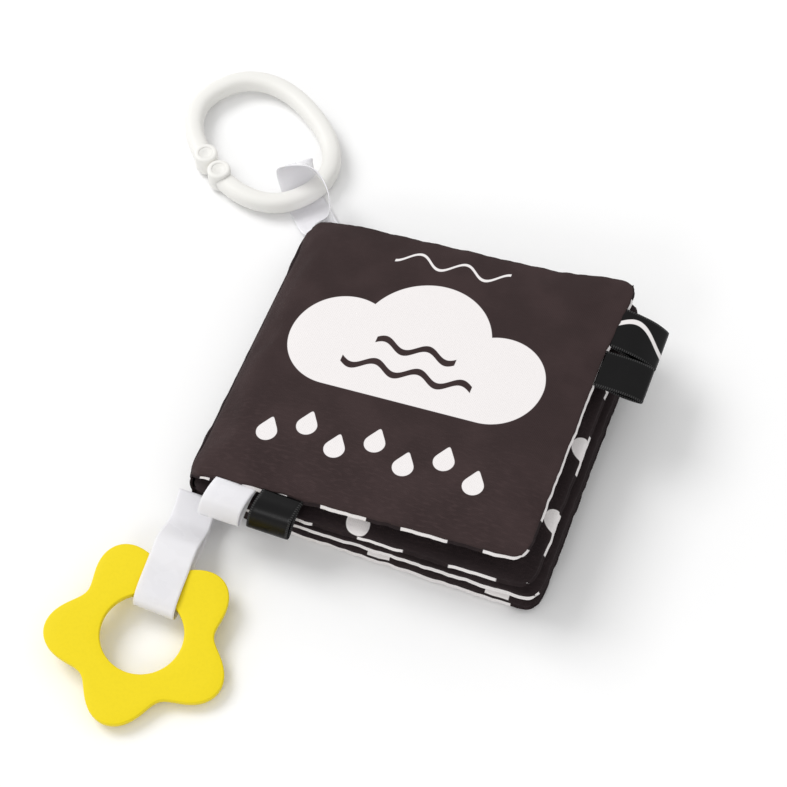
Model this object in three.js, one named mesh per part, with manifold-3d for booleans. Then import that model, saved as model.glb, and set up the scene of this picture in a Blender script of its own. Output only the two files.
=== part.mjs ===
// Folded cloth book for a baby, lying closed on its back cover, with a clip ring, a flat star teether and
// ribbon tags. Millimetres. X runs from the spine to the open edge, Y to the head of the pages, Z up.
// The origin is the middle of the back cover's flat underside.
import * as THREE from "three";
import { mergeVertices } from "three/addons/utils/BufferGeometryUtils.js";
import Module from "manifold-3d";

// Pages
const PAGE_WIDTH = 125;
const PAGE_HEIGHT = 115;
const PAGE_CORNER_RADIUS = 6;
const CLOTH_THICKNESS = 0.6;
const PAD_THICKNESS = 8;
const EDGE_CROWN_WIDTH = 14;
const COVER_FOLD_WIDTH = 25;
const LEAF_STEPS_ACROSS = 5;
const LEAF_STEPS_ALONG = 4;
const WADDING_STATIONS_LEFT_OUT = 2;

// Clearance kept between meshes that touch on the real book
const SEAT_GAP = 0.3;

// Spine: the leaves start a little inside it, one above the other
const ROOT_INSET = 3.5;
const LOWEST_ROOT_HEIGHT = 5;
const ROOT_PITCH = 4;
const SPINE_FOLD_DEPTH = 2;
const SPINE_FOLD_STEPS = 12;

// The leaves' padding and the air between them are given at two stations, measured from the spine
const NEAR_STATION = 25;
const FAR_STATION = 115;

// Ribbon. Tags and loops are folded strips, sewn into a seam by both ends
const RIBBON_WIDTH = 15;
const WIDE_RIBBON_WIDTH = 17;
const RIBBON_THICKNESS = 0.5;
const LAYER_SPACING = RIBBON_THICKNESS + SEAT_GAP;
const TAG_STEPS = 26;
const LOOP_STEPS = 44;
const TWIST_SHARE = 1 / 3;

// Clip ring
const RING_LENGTH = 71;
const RING_WIDTH = 53.6;
const RING_BAR = 7.4;
const RING_ROUNDNESS = 2.3;
const RING_CENTRE = new THREE.Vector2(-97.3, 97.8);
const RING_TURN_DEG = 144;
const RING_LIFT = 1.5;
const RING_STEPS = 72;
const RING_BAR_SIDES = 14;
const CLASP_DIAMETER = 9;
const CLASP_HEIGHT = 8.8;
const CLASP_GAP = 0.6;
const CLASP_PLACE_DEG = 91;
const CLASP_EDGE_ROUND = 0.7;
const CLASP_SIDES = 28;
const DIMPLE_DIAMETER = 5.4;
const DIMPLE_DEPTH = 1;
const DIMPLE_EDGE_ROUND = 0.4;
const SAME_POINT_DISTANCE = 0.0001;

// The ring's ribbon: its place along the head of the book, where round the ring it crosses the bar, and its
// free room past the bar
const RING_RIBBON_PLACE_SHARE = 0.096;
const RIBBON_CROSSING_DEG = 180;
const RING_RIBBON_SLACK = 7.6;

// Star teether
const TEETHER_MEAN_RADIUS = 28.9;
const TEETHER_LOBE_HEIGHT = 4.4;
const TEETHER_LOBE_SHARPNESS = -0.2;
const TEETHER_LOBES = 5;
const TEETHER_FIRST_LOBE_DEG = 55.3;
const TEETHER_HOLE_RADIUS = 14.2;
const TEETHER_THICKNESS = 4.6;
const TEETHER_EDGE_ROUND = 1;
const TEETHER_EDGE_STEPS = 3;
const TEETHER_CENTRE = new THREE.Vector2(-53.05, -113.8);
const TEETHER_RISE_SHARE = 0.1;
const TEETHER_OUTLINE_STEPS = 90;
const TEETHER_HOLE_STEPS = 40;

// The teether's ribbon: its place along the foot of the book, how soon it closes up past the lobe, and how
// far it sags on the way
const TEETHER_RIBBON_PLACE_SHARE = 0.054;
const TEETHER_RIBBON_SPREAD = 5;
const TEETHER_RIBBON_SAG = 3;

// Colours
const BLACK_PRINT = 0x3b3130;
const BLACK_SIDE = 0x2d2726;
const WHITE_PRINT = 0xe8e4e2;
const WADDING_WHITE = 0xf4f2ee;
const RIBBON_WHITE = 0xf4f4f4;
const RIBBON_BLACK = 0x151314;
const RING_WHITE = 0xfaf9f6;
const TEETHER_YELLOW = 0xf2dc30;

// Folded tags in the order that they are sewn in along a side, from the spine or from the foot, and the place
// of the first one's edge as a share of that side. reachShare and dropShare say how far a tag stands out of
// the seam and hangs below it, in ribbon widths, and leanShare how far it leans along the seam, in reaches.
const TAG_GAP = 1.8;
const FOOT_TAGS_PLACE_SHARE = 0.108;
const FOOT_TAGS = [
  {
    name: "white_foot_tag", width: RIBBON_WIDTH, reachShare: 0.73, dropShare: 0.62, leanShare: -0.27,
    colour: RIBBON_WHITE,
  },
  {
    name: "black_foot_tag", width: RIBBON_WIDTH, reachShare: 0.7, dropShare: 0.68, leanShare: -0.22,
    colour: RIBBON_BLACK,
  },
];
const SIDE_TAGS_PLACE_SHARE = 0.635;
const SIDE_TAGS = [
  {
    name: "plain_side_tag", width: RIBBON_WIDTH, reachShare: 1.167, dropShare: 0.3, leanShare: 0.09,
    colour: RIBBON_BLACK,
  },
  {
    name: "wave_side_tag", width: WIDE_RIBBON_WIDTH, reachShare: 1.167, dropShare: 0.467, leanShare: 0,
    colour: RIBBON_BLACK,
  },
];

// Once round a tag, out on its upper layer and back on its lower one: shares of its reach and of its drop
const FOOT_TAG_SHARES = [
  [0.38, 0], [0.74, 0.22], [0.95, 0.6], [1, 0.92], [0.9, 1], [0.74, 0.8], [0.5, 0.42], [0.25, 0.14],
];
const SIDE_TAG_SHARES = [
  [0.3, 0.08], [0.7, 0.4], [0.95, 0.82], [1, 1], [0.92, 1.04], [0.6, 0.8], [0.25, 0.28],
];

// The ring ribbon's lower layer falls from the seam to the ground: shares of its length and of the fall
const RING_RIBBON_FALL_SHARES = [[0.18, 0.42], [0.38, 0.84], [0.55, 1], [0.78, 1]];
// and its upper layer comes back over the bar: shares of its length and of the height over the bar
const RING_RIBBON_RISE_SHARES = [[0.92, 0.93], [0.74, 1.03], [0.55, 0.99], [0.37, 0.96], [0.18, 1]];

const SPINE_X = -PAGE_WIDTH / 2;
const ROOT_X = SPINE_X + ROOT_INSET;
const SEAM_LIP = 2 * CLOTH_THICKNESS + SEAT_GAP;

// From the lowest leaf up. gapShares give the air under the leaf and thicknessShares its padding, at the near
// and the far station, as shares of the padding's thickness. overhangShare is how far it sticks out past the
// page, shiftShare how far it has slipped along the spine, as shares of the page's width and height, and
// seamShare is the height of its stitched edge between its faces.
const LEAVES = [
  {
    name: "back_cover", faces: ["outer_cloth", "inner_cloth"], rootCrown: EDGE_CROWN_WIDTH,
    colour: BLACK_SIDE,
    gapShares: [0, 0], thicknessShares: [0.95, 1.075], overhangShare: 0.044, shiftShare: 0, seamShare: 0.46,
  },
  {
    name: "inner_back_leaf", faces: ["lower_cloth", "upper_cloth"], rootCrown: EDGE_CROWN_WIDTH,
    colour: WHITE_PRINT,
    gapShares: [0.06, 0.06], thicknessShares: [0.625, 1.01], overhangShare: 0.048, shiftShare: -0.0085,
    seamShare: 0.5,
  },
  {
    name: "inner_front_leaf", faces: ["lower_cloth", "upper_cloth"], rootCrown: EDGE_CROWN_WIDTH,
    colour: BLACK_SIDE,
    gapShares: [0.075, 0.075], thicknessShares: [0.7, 0.965], overhangShare: 0.028, shiftShare: -0.013,
    seamShare: 0.45,
  },
  {
    name: "front_cover", faces: ["inner_cloth", "outer_cloth"], rootCrown: COVER_FOLD_WIDTH,
    colour: BLACK_PRINT,
    gapShares: [0.125, 0.71], thicknessShares: [1.06, 0.84], overhangShare: 0, shiftShare: 0.0045,
    seamShare: 0.6,
  },
];
const stackHeight = [0, 0];
LEAVES.forEach((leaf, level) => {
  leaf.rootHeight = LOWEST_ROOT_HEIGHT + level * ROOT_PITCH;
  leaf.foreX = SPINE_X + PAGE_WIDTH * (1 + leaf.overhangShare);
  leaf.shift = PAGE_HEIGHT * leaf.shiftShare;
  leaf.bottom = stackHeight.map((height, station) => height + PAD_THICKNESS * leaf.gapShares[station]);
  leaf.top = leaf.bottom.map((height, station) => height + PAD_THICKNESS * leaf.thicknessShares[station]);
  stackHeight.splice(0, stackHeight.length, ...leaf.top);
});
const [, INNER_BACK_LEAF, , FRONT_COVER] = LEAVES;

const wasm = await Module();
wasm.setup();
const book = new THREE.Group();
book.name = "contrast_book";

function cloth(colour) {
  return new THREE.MeshStandardMaterial({ color: colour, roughness: 0.85, metalness: 0 });
}

function satin(colour) {
  return new THREE.MeshStandardMaterial({ color: colour, roughness: 0.4, metalness: 0 });
}

function plastic(colour) {
  return new THREE.MeshStandardMaterial({ color: colour, roughness: 0.35, metalness: 0 });
}

function add(name, geometry, material) {
  const mesh = new THREE.Mesh(geometry, material);
  mesh.name = name;
  book.add(mesh);
  return mesh;
}

// A closed solid from a grid of upper and lower points, one row per x and one column per y.
function sheetSolid(upper, lower) {
  const rows = upper.length;
  const columns = upper[0].length;
  const positions = [];
  const faces = [];
  for (const layer of [upper, lower]) {
    for (const row of layer) {
      for (const point of row) {
        positions.push(point.x, point.y, point.z);
      }
    }
  }
  const top = (i, j) => i * columns + j;
  const below = (i, j) => rows * columns + top(i, j);
  const quad = (a, b, c, d) => faces.push(a, b, c, a, c, d);
  for (let i = 0; i + 1 < rows; i++) {
    for (let j = 0; j + 1 < columns; j++) {
      quad(top(i, j), top(i + 1, j), top(i + 1, j + 1), top(i, j + 1));
      quad(below(i, j), below(i, j + 1), below(i + 1, j + 1), below(i + 1, j));
    }
  }
  const lastRow = rows - 1;
  const lastColumn = columns - 1;
  for (let i = 0; i < lastRow; i++) {
    quad(top(i, 0), below(i, 0), below(i + 1, 0), top(i + 1, 0));
    quad(top(i + 1, lastColumn), below(i + 1, lastColumn), below(i, lastColumn), top(i, lastColumn));
  }
  for (let j = 0; j < lastColumn; j++) {
    quad(top(0, j + 1), below(0, j + 1), below(0, j), top(0, j));
    quad(top(lastRow, j), below(lastRow, j), below(lastRow, j + 1), top(lastRow, j + 1));
  }
  const geometry = new THREE.BufferGeometry();
  geometry.setAttribute("position", new THREE.Float32BufferAttribute(positions, 3));
  geometry.setIndex(faces);
  return geometry;
}

// Distances along a side of the page: close together where the padding rounds off, even between.
function stations(from, to, middleSteps) {
  const edgeSteps = [0, PAGE_CORNER_RADIUS / 3, PAGE_CORNER_RADIUS, EDGE_CROWN_WIDTH];
  const places = edgeSteps.map((step) => from + step);
  const innerFrom = from + EDGE_CROWN_WIDTH;
  const innerTo = to - EDGE_CROWN_WIDTH;
  for (let step = 1; step < middleSteps; step++) {
    places.push(THREE.MathUtils.lerp(innerFrom, innerTo, step / middleSteps));
  }
  return places.concat(edgeSteps.reverse().map((step) => to - step));
}

// Quarter-round rise of the padding, from 0 at a seam to 1 at that width from it.
function crown(distance, width) {
  const share = THREE.MathUtils.clamp(distance / width, 0, 1);
  return Math.sqrt(1 - (1 - share) ** 2);
}

function planeHeight(heights, x) {
  const share = (x - SPINE_X - NEAR_STATION) / (FAR_STATION - NEAR_STATION);
  return THREE.MathUtils.lerp(heights[0], heights[1], share);
}

// Heights of a leaf's lower and upper face at a point of the page.
function leafHeights(leaf, x, y) {
  const rootShare = crown(x - ROOT_X, leaf.rootCrown);
  const sideDistance = PAGE_HEIGHT / 2 - Math.abs(y - leaf.shift);
  const foreShare = crown(leaf.foreX - x, EDGE_CROWN_WIDTH);
  const fullness = rootShare * foreShare * crown(sideDistance, EDGE_CROWN_WIDTH);
  const low = planeHeight(leaf.bottom, x);
  const high = planeHeight(leaf.top, x);
  const seamPlane = THREE.MathUtils.lerp(low, high, leaf.seamShare);
  const seam = THREE.MathUtils.lerp(leaf.rootHeight, seamPlane, rootShare);
  return {
    lower: THREE.MathUtils.lerp(seam - SEAM_LIP / 2, low, fullness),
    upper: THREE.MathUtils.lerp(seam + SEAM_LIP / 2, high, fullness),
  };
}

function footEdge(leaf) {
  return leaf.shift - PAGE_HEIGHT / 2;
}

function headEdge(leaf) {
  return leaf.shift + PAGE_HEIGHT / 2;
}

// Height of a leaf's stitched seam at a point of its edge.
function seamHeight(leaf, x, y) {
  const heights = leafHeights(leaf, x, y);
  return (heights.lower + heights.upper) / 2;
}

// Pulls a point of the page's square corner in to the rounded one.
function roundedCorner(leaf, x, y) {
  const radius = PAGE_CORNER_RADIUS;
  const middleX = (ROOT_X + leaf.foreX) / 2;
  const reachX = (leaf.foreX - ROOT_X) / 2 - radius;
  const reachY = PAGE_HEIGHT / 2 - radius;
  const overX = Math.abs(x - middleX) - reachX;
  const overY = Math.abs(y - leaf.shift) - reachY;
  const over = Math.hypot(overX, overY);
  if (overX <= 0 || overY <= 0 || over <= radius) {
    return [x, y];
  }
  const pull = radius / over;
  return [
    middleX + Math.sign(x - middleX) * (reachX + overX * pull),
    leaf.shift + Math.sign(y - leaf.shift) * (reachY + overY * pull),
  ];
}

// One layer of a leaf: heightOf gives its underside and top from the heights of the leaf's faces.
// A layer may leave out the outermost stations, as the wadding does to end inside the seam.
function leafLayer(leaf, leftOut, heightOf) {
  const inner = (places) => places.slice(leftOut, places.length - leftOut);
  const across = inner(stations(ROOT_X, leaf.foreX, LEAF_STEPS_ACROSS));
  const along = inner(stations(footEdge(leaf), headEdge(leaf), LEAF_STEPS_ALONG));
  const upper = [];
  const lower = [];
  for (const x of across) {
    const points = along.map((y) => {
      const [px, py] = roundedCorner(leaf, x, y);
      return { px, py, heights: heightOf(leafHeights(leaf, px, py)) };
    });
    upper.push(points.map((p) => new THREE.Vector3(p.px, p.py, p.heights[1])));
    lower.push(points.map((p) => new THREE.Vector3(p.px, p.py, p.heights[0])));
  }
  return sheetSolid(upper, lower);
}

function addLeaf(leaf) {
  const wadInset = CLOTH_THICKNESS + SEAT_GAP;
  const lowerCloth = leafLayer(leaf, 0, (h) => [h.lower, h.lower + CLOTH_THICKNESS]);
  const upperCloth = leafLayer(leaf, 0, (h) => [h.upper - CLOTH_THICKNESS, h.upper]);
  const wadding = leafLayer(leaf, WADDING_STATIONS_LEFT_OUT, (h) => [h.lower + wadInset, h.upper - wadInset]);
  add(`${leaf.name}_${leaf.faces[0]}`, lowerCloth, cloth(leaf.colour));
  add(`${leaf.name}_${leaf.faces[1]}`, upperCloth, cloth(leaf.colour));
  add(`${leaf.name}_wadding`, wadding, cloth(WADDING_WHITE));
}

// A band of cloth folded round the spine, from one leaf's root to another's.
function spineFold(lowHeight, highHeight, depth) {
  const middle = (lowHeight + highHeight) / 2;
  const reach = (highHeight - lowHeight + SEAM_LIP) / 2;
  const upper = [];
  const lower = [];
  const ends = [-PAGE_HEIGHT / 2, PAGE_HEIGHT / 2];
  for (let step = 0; step <= SPINE_FOLD_STEPS; step++) {
    const angle = Math.PI * (step / SPINE_FOLD_STEPS - 1 / 2);
    const at = (thinner) =>
      ends.map(
        (y) =>
          new THREE.Vector3(
            ROOT_X - SEAT_GAP - (depth - thinner) * Math.cos(angle),
            y,
            middle + (reach - thinner) * Math.sin(angle),
          ),
      );
    upper.push(at(0));
    lower.push(at(CLOTH_THICKNESS));
  }
  return sheetSolid(upper, lower);
}

function addSpine() {
  const [lowest, second, third, highest] = LEAVES.map((leaf) => leaf.rootHeight);
  const innerDepth = SPINE_FOLD_DEPTH - CLOTH_THICKNESS - SEAT_GAP;
  add("outer_spine_fold", spineFold(lowest, highest, SPINE_FOLD_DEPTH), cloth(BLACK_PRINT));
  add("inner_spine_fold", spineFold(second, third, innerDepth), cloth(BLACK_SIDE));
}

// A ribbon along a path. acrossAt gives the direction of its width at a share of the way along.
function ribbonStrip(points, acrossAt, width, steps) {
  const path = new THREE.CatmullRomCurve3(points, false, "centripetal");
  const upper = [];
  const lower = [];
  for (let step = 0; step <= steps; step++) {
    const share = step / steps;
    const centre = path.getPointAt(share);
    const across = acrossAt(share).clone().normalize();
    const outward = new THREE.Vector3().crossVectors(path.getTangentAt(share), across).normalize();
    const edges = (offset) =>
      [-width / 2, width / 2].map((side) =>
        centre.clone().addScaledVector(across, side).addScaledVector(outward, offset),
      );
    upper.push(edges(RIBBON_THICKNESS / 2));
    lower.push(edges(-RIBBON_THICKNESS / 2));
  }
  return sheetSolid(upper, lower);
}

// Turns the width of a loop's two sewn ends to that of its far end, and back.
function loopAcross(atSeam, atFarEnd) {
  return (share) => {
    const outShare = THREE.MathUtils.smoothstep(Math.min(share, 1 - share), 0, TWIST_SHARE);
    return new THREE.Vector3().lerpVectors(atSeam, atFarEnd, outShare);
  };
}

// A folded tag sewn into a leaf's seam at that x and y. out points away from the page, side along the seam.
function addTag(tag, leaf, x, y, out, side, shares) {
  const height = seamHeight(leaf, x, y);
  const reach = RIBBON_WIDTH * tag.reachShare;
  const drop = RIBBON_WIDTH * tag.dropShare;
  const way = out.clone().addScaledVector(side, tag.leanShare);
  const point = (along, down) => new THREE.Vector3(x + way.x * along, y + way.y * along, height - down);
  const middle = shares.map(([alongShare, downShare]) => point(reach * alongShare, drop * downShare));
  const points = [point(0, -LAYER_SPACING / 2), ...middle, point(0, LAYER_SPACING / 2)];
  const across = new THREE.Vector3(side.x, side.y, 0);
  add(tag.name, ribbonStrip(points, () => across, tag.width, TAG_STEPS), satin(tag.colour));
}

function addTags() {
  const alongX = new THREE.Vector2(1, 0);
  const alongY = new THREE.Vector2(0, 1);
  const footY = footEdge(FRONT_COVER) - SEAT_GAP;
  let footPlace = SPINE_X + PAGE_WIDTH * FOOT_TAGS_PLACE_SHARE;
  for (const tag of FOOT_TAGS) {
    const x = footPlace + tag.width / 2;
    addTag(tag, FRONT_COVER, x, footY, alongY.clone().negate(), alongX, FOOT_TAG_SHARES);
    footPlace += tag.width + TAG_GAP;
  }
  const foreX = FRONT_COVER.foreX + SEAT_GAP;
  let sidePlace = PAGE_HEIGHT * (SIDE_TAGS_PLACE_SHARE - 1 / 2);
  for (const tag of SIDE_TAGS) {
    const y = sidePlace + tag.width / 2;
    addTag(tag, FRONT_COVER, foreX, y, alongX, alongY, SIDE_TAG_SHARES);
    sidePlace += tag.width + TAG_GAP;
  }
}

// A point of the ring's centre line, a rounded oval, at an angle round it.
function ringPoint(angle) {
  const reachX = (RING_LENGTH - RING_BAR) / 2;
  const reachY = (RING_WIDTH - RING_BAR) / 2;
  const bend = 2 / RING_ROUNDNESS;
  const cos = Math.cos(angle);
  const sin = Math.sin(angle);
  const flat = new THREE.Vector2(
    reachX * Math.sign(cos) * Math.abs(cos) ** bend,
    reachY * Math.sign(sin) * Math.abs(sin) ** bend,
  );
  flat.rotateAround(new THREE.Vector2(), THREE.MathUtils.degToRad(RING_TURN_DEG)).add(RING_CENTRE);
  return new THREE.Vector3(flat.x, flat.y, RING_LIFT + RING_BAR / 2);
}

// The closed centre line, from the middle of the clasp and back to it.
function ringLoop() {
  const clasp = THREE.MathUtils.degToRad(CLASP_PLACE_DEG);
  const points = [];
  for (let step = 0; step < RING_STEPS; step++) {
    points.push(ringPoint(clasp + (2 * Math.PI * step) / RING_STEPS));
  }
  return new THREE.CatmullRomCurve3(points, true);
}

// The bar's centre line runs from one clasp boss to the other.
function ringPath() {
  const loop = ringLoop();
  const gapShare = (CLASP_DIAMETER + CLASP_GAP) / 2 / loop.getLength();
  const points = [];
  for (let step = 0; step <= RING_STEPS; step++) {
    points.push(loop.getPointAt(THREE.MathUtils.lerp(gapShare, 1 - gapShare, step / RING_STEPS)));
  }
  return new THREE.CatmullRomCurve3(points);
}

function manifoldOf(geometry) {
  const plain = geometry.clone();
  plain.deleteAttribute("normal");
  plain.deleteAttribute("uv");
  const merged = mergeVertices(plain, SAME_POINT_DISTANCE);
  const mesh = new wasm.Mesh({
    numProp: 3,
    vertProperties: merged.attributes.position.array,
    triVerts: new Uint32Array(merged.index.array),
  });
  return new wasm.Manifold(mesh);
}

function geometryOf(solid) {
  const mesh = solid.getMesh();
  const geometry = new THREE.BufferGeometry();
  geometry.setAttribute("position", new THREE.BufferAttribute(mesh.vertProperties, 3));
  geometry.setIndex(new THREE.BufferAttribute(mesh.triVerts, 1));
  return geometry;
}

// An upright round boss with softened rims, its lathe profile closed on the axis.
function turned(radius, height, round) {
  const profile = [
    new THREE.Vector2(0, 0),
    new THREE.Vector2(radius - round, 0),
    new THREE.Vector2(radius, round),
    new THREE.Vector2(radius, height - round),
    new THREE.Vector2(radius - round, height),
    new THREE.Vector2(0, height),
  ];
  return new THREE.LatheGeometry(profile, CLASP_SIDES).rotateX(Math.PI / 2);
}

function addRing() {
  const path = ringPath();
  const section = new THREE.Shape();
  section.absarc(0, 0, RING_BAR / 2, 0, 2 * Math.PI);
  const bar = new THREE.ExtrudeGeometry(section, {
    steps: RING_STEPS,
    curveSegments: RING_BAR_SIDES,
    bevelEnabled: false,
    extrudePath: path,
  });
  let ring = manifoldOf(bar);
  for (const end of [path.getPointAt(0), path.getPointAt(1)]) {
    const boss = turned(CLASP_DIAMETER / 2, CLASP_HEIGHT, CLASP_EDGE_ROUND);
    boss.translate(end.x, end.y, RING_LIFT);
    const dimple = turned(DIMPLE_DIAMETER / 2, CLASP_HEIGHT, DIMPLE_EDGE_ROUND);
    dimple.translate(end.x, end.y, RING_LIFT + CLASP_HEIGHT - DIMPLE_DEPTH);
    ring = ring.add(manifoldOf(boss)).subtract(manifoldOf(dimple));
  }
  add("ring", geometryOf(ring), plastic(RING_WHITE));
}

// Loose loop of ribbon from the head of the book under the ring's bar and back over it.
function addRingRibbon() {
  const rootX = SPINE_X + PAGE_WIDTH * RING_RIBBON_PLACE_SHARE;
  const head = headEdge(INNER_BACK_LEAF);
  const root = new THREE.Vector3(rootX, head + SEAT_GAP, seamHeight(INNER_BACK_LEAF, rootX, head));
  const bar = ringPoint(THREE.MathUtils.degToRad(RIBBON_CROSSING_DEG));
  const out = new THREE.Vector3(bar.x - root.x, bar.y - root.y, 0);
  const length = out.length() + RING_BAR / 2 + RING_RIBBON_SLACK;
  out.normalize();
  const at = (share, height) => root.clone().addScaledVector(out, length * share).setZ(height);
  const low = root.z - LAYER_SPACING / 2;
  const underBar = RING_LIFT - LAYER_SPACING;
  const overBar = RING_LIFT + RING_BAR + LAYER_SPACING;
  const fall = (fallShare) => THREE.MathUtils.lerp(low, underBar, fallShare);
  const lowerLayer = RING_RIBBON_FALL_SHARES.map(([share, fallShare]) => at(share, fall(fallShare)));
  const upperLayer = RING_RIBBON_RISE_SHARES.map(([share, riseShare]) => at(share, overBar * riseShare));
  const seamTop = at(0, root.z + LAYER_SPACING / 2);
  const points = [at(0, low), ...lowerLayer, at(1, RING_LIFT + RING_BAR / 2), ...upperLayer, seamTop];
  const across = loopAcross(new THREE.Vector3(1, 0, 0), new THREE.Vector3(out.y, -out.x, 0));
  add("ring_ribbon", ribbonStrip(points, across, RIBBON_WIDTH, LOOP_STEPS), satin(RIBBON_WHITE));
}

function teetherOutline() {
  const outline = [];
  const first = THREE.MathUtils.degToRad(TEETHER_FIRST_LOBE_DEG);
  for (let step = 0; step < TEETHER_OUTLINE_STEPS; step++) {
    const angle = (2 * Math.PI * step) / TEETHER_OUTLINE_STEPS;
    const wave = TEETHER_LOBES * (angle - first);
    const radius =
      TEETHER_MEAN_RADIUS +
      TEETHER_LOBE_HEIGHT * Math.cos(wave) +
      TEETHER_LOBE_SHARPNESS * Math.cos(2 * wave) -
      TEETHER_EDGE_ROUND;
    outline.push(new THREE.Vector2(radius * Math.cos(angle), radius * Math.sin(angle)));
  }
  return outline;
}

function teetherShape() {
  const shape = new THREE.Shape(teetherOutline());
  const hole = new THREE.Path();
  hole.absarc(0, 0, TEETHER_HOLE_RADIUS + TEETHER_EDGE_ROUND, 0, 2 * Math.PI, true);
  shape.holes.push(hole);
  return shape;
}

// The teether rises towards the book, where its ribbon holds it up. This is the tilt of its plane.
function teetherTilt() {
  const normal = new THREE.Vector3(TEETHER_RISE_SHARE, -TEETHER_RISE_SHARE, 1).normalize();
  return new THREE.Quaternion().setFromUnitVectors(new THREE.Vector3(0, 0, 1), normal);
}

// Height of the teether's middle, with its lowest point on the ground.
function teetherHeight() {
  const fall = Math.max(...teetherOutline().map((point) => TEETHER_RISE_SHARE * (point.x - point.y)));
  return TEETHER_THICKNESS / 2 + fall + SEAT_GAP;
}

function addTeether() {
  const core = TEETHER_THICKNESS - 2 * TEETHER_EDGE_ROUND;
  const plate = new THREE.ExtrudeGeometry(teetherShape(), {
    depth: core,
    curveSegments: TEETHER_HOLE_STEPS,
    bevelEnabled: true,
    bevelThickness: TEETHER_EDGE_ROUND,
    bevelSize: TEETHER_EDGE_ROUND,
    bevelSegments: TEETHER_EDGE_STEPS,
  });
  plate.translate(0, 0, -core / 2);
  plate.applyQuaternion(teetherTilt());
  plate.translate(TEETHER_CENTRE.x, TEETHER_CENTRE.y, teetherHeight());
  add("teether", plate, plastic(TEETHER_YELLOW));
}

// Loop of ribbon from the foot of the book round the teether's nearest lobe, through its hole.
function addTeetherRibbon() {
  const rootX = SPINE_X + PAGE_WIDTH * TEETHER_RIBBON_PLACE_SHARE;
  const foot = footEdge(INNER_BACK_LEAF);
  const root = new THREE.Vector3(rootX, foot - SEAT_GAP, seamHeight(INNER_BACK_LEAF, rootX, foot));
  const holeEdge = TEETHER_CENTRE.y + Math.sqrt(TEETHER_HOLE_RADIUS ** 2 - (RIBBON_WIDTH / 2) ** 2);
  const lobeEdge = TEETHER_CENTRE.y + TEETHER_MEAN_RADIUS;
  const closingY = lobeEdge + TEETHER_RIBBON_SPREAD;
  const lyingY = lobeEdge - TEETHER_RIBBON_SPREAD;
  const rimOffset = TEETHER_THICKNESS / 2 + LAYER_SPACING;
  const plate = (y) => teetherHeight() + TEETHER_RISE_SHARE * (y - TEETHER_CENTRE.y);
  const at = (y, height) => {
    const share = (y - root.y) / (holeEdge - root.y);
    return new THREE.Vector3(THREE.MathUtils.lerp(root.x, TEETHER_CENTRE.x, share), y, height);
  };
  const layer = (side) => [
    at(root.y, root.z + (side * LAYER_SPACING) / 2),
    at((root.y + closingY) / 2, root.z - TEETHER_RIBBON_SAG + side * LAYER_SPACING),
    at(closingY, plate(lobeEdge) + side * rimOffset),
    at(lyingY, plate(lyingY) + side * rimOffset),
    at(holeEdge, plate(holeEdge) + side * rimOffset),
  ];
  const points = [...layer(-1), at(holeEdge - rimOffset, plate(holeEdge)), ...layer(1).reverse()];
  const across = loopAcross(new THREE.Vector3(1, 0, 0), new THREE.Vector3(1, 0, -TEETHER_RISE_SHARE));
  add("teether_ribbon", ribbonStrip(points, across, RIBBON_WIDTH, LOOP_STEPS), satin(RIBBON_WHITE));
}

LEAVES.forEach(addLeaf);
addSpine();
addRing();
addRingRibbon();
addTeether();
addTeetherRibbon();
addTags();

export default book;
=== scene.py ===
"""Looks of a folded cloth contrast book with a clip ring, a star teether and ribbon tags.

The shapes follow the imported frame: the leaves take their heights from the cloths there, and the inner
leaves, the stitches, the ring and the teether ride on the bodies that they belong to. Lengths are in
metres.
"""

import math

import bmesh
import bpy
import numpy as np
from mathutils import Matrix, Quaternion, Vector, noise
from mathutils.bvhtree import BVHTree


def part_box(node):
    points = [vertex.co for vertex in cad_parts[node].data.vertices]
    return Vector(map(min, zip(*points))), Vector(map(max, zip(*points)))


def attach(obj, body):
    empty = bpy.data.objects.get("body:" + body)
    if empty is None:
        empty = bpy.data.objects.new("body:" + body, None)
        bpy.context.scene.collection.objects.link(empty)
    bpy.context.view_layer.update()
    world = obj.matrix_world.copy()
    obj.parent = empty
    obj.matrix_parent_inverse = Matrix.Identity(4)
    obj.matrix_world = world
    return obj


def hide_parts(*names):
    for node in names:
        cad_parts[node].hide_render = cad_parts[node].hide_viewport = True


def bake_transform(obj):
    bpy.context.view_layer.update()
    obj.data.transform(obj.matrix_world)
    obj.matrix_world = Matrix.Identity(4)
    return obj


bl_info = {
    "name": "Cloth contrast book",
    "version": (1, 0, 0),
    "blender": (4, 5, 0),
    "location": "3D View > Sidebar > Cloth book",
    "description": "Builds a padded cloth book with its ring, teether, ribbons, tags and studio stage",
    "category": "Add Mesh",
}

MM = 0.001
TINY = 1e-6
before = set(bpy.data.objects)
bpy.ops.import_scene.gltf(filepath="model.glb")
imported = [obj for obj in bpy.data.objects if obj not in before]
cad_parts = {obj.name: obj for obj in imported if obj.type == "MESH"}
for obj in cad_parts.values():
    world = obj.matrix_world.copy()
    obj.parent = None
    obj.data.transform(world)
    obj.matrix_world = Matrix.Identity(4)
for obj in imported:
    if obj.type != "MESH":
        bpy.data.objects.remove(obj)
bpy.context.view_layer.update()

# The page and its padding
PAGE_WIDTH = 125 * MM
PAGE_HEIGHT = 115 * MM
PAGE_CORNER_RADIUS = 6 * MM
CROWN_WIDTH = 14 * MM
COVER_FOLD_WIDTH = 25 * MM
COVER_WRAP = 3 * MM
BACK_PAGE_ROOT_HEIGHT = 9 * MM
FRONT_PAGE_ROOT_HEIGHT = 13 * MM
UPPER_BULGE = 1.3 * MM
LOWER_BULGE = 2.4 * MM
EDGE_LINE_SHARES = (0, 0.025, 0.07, 0.14, 0.24, 0.38, 0.56, 0.78)
NEAR_STATION = 25 * MM
FAR_STATION = 115 * MM
SPINE_X = -PAGE_WIDTH / 2
ROOT_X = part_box("front_cover_outer_cloth")[0].x
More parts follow.
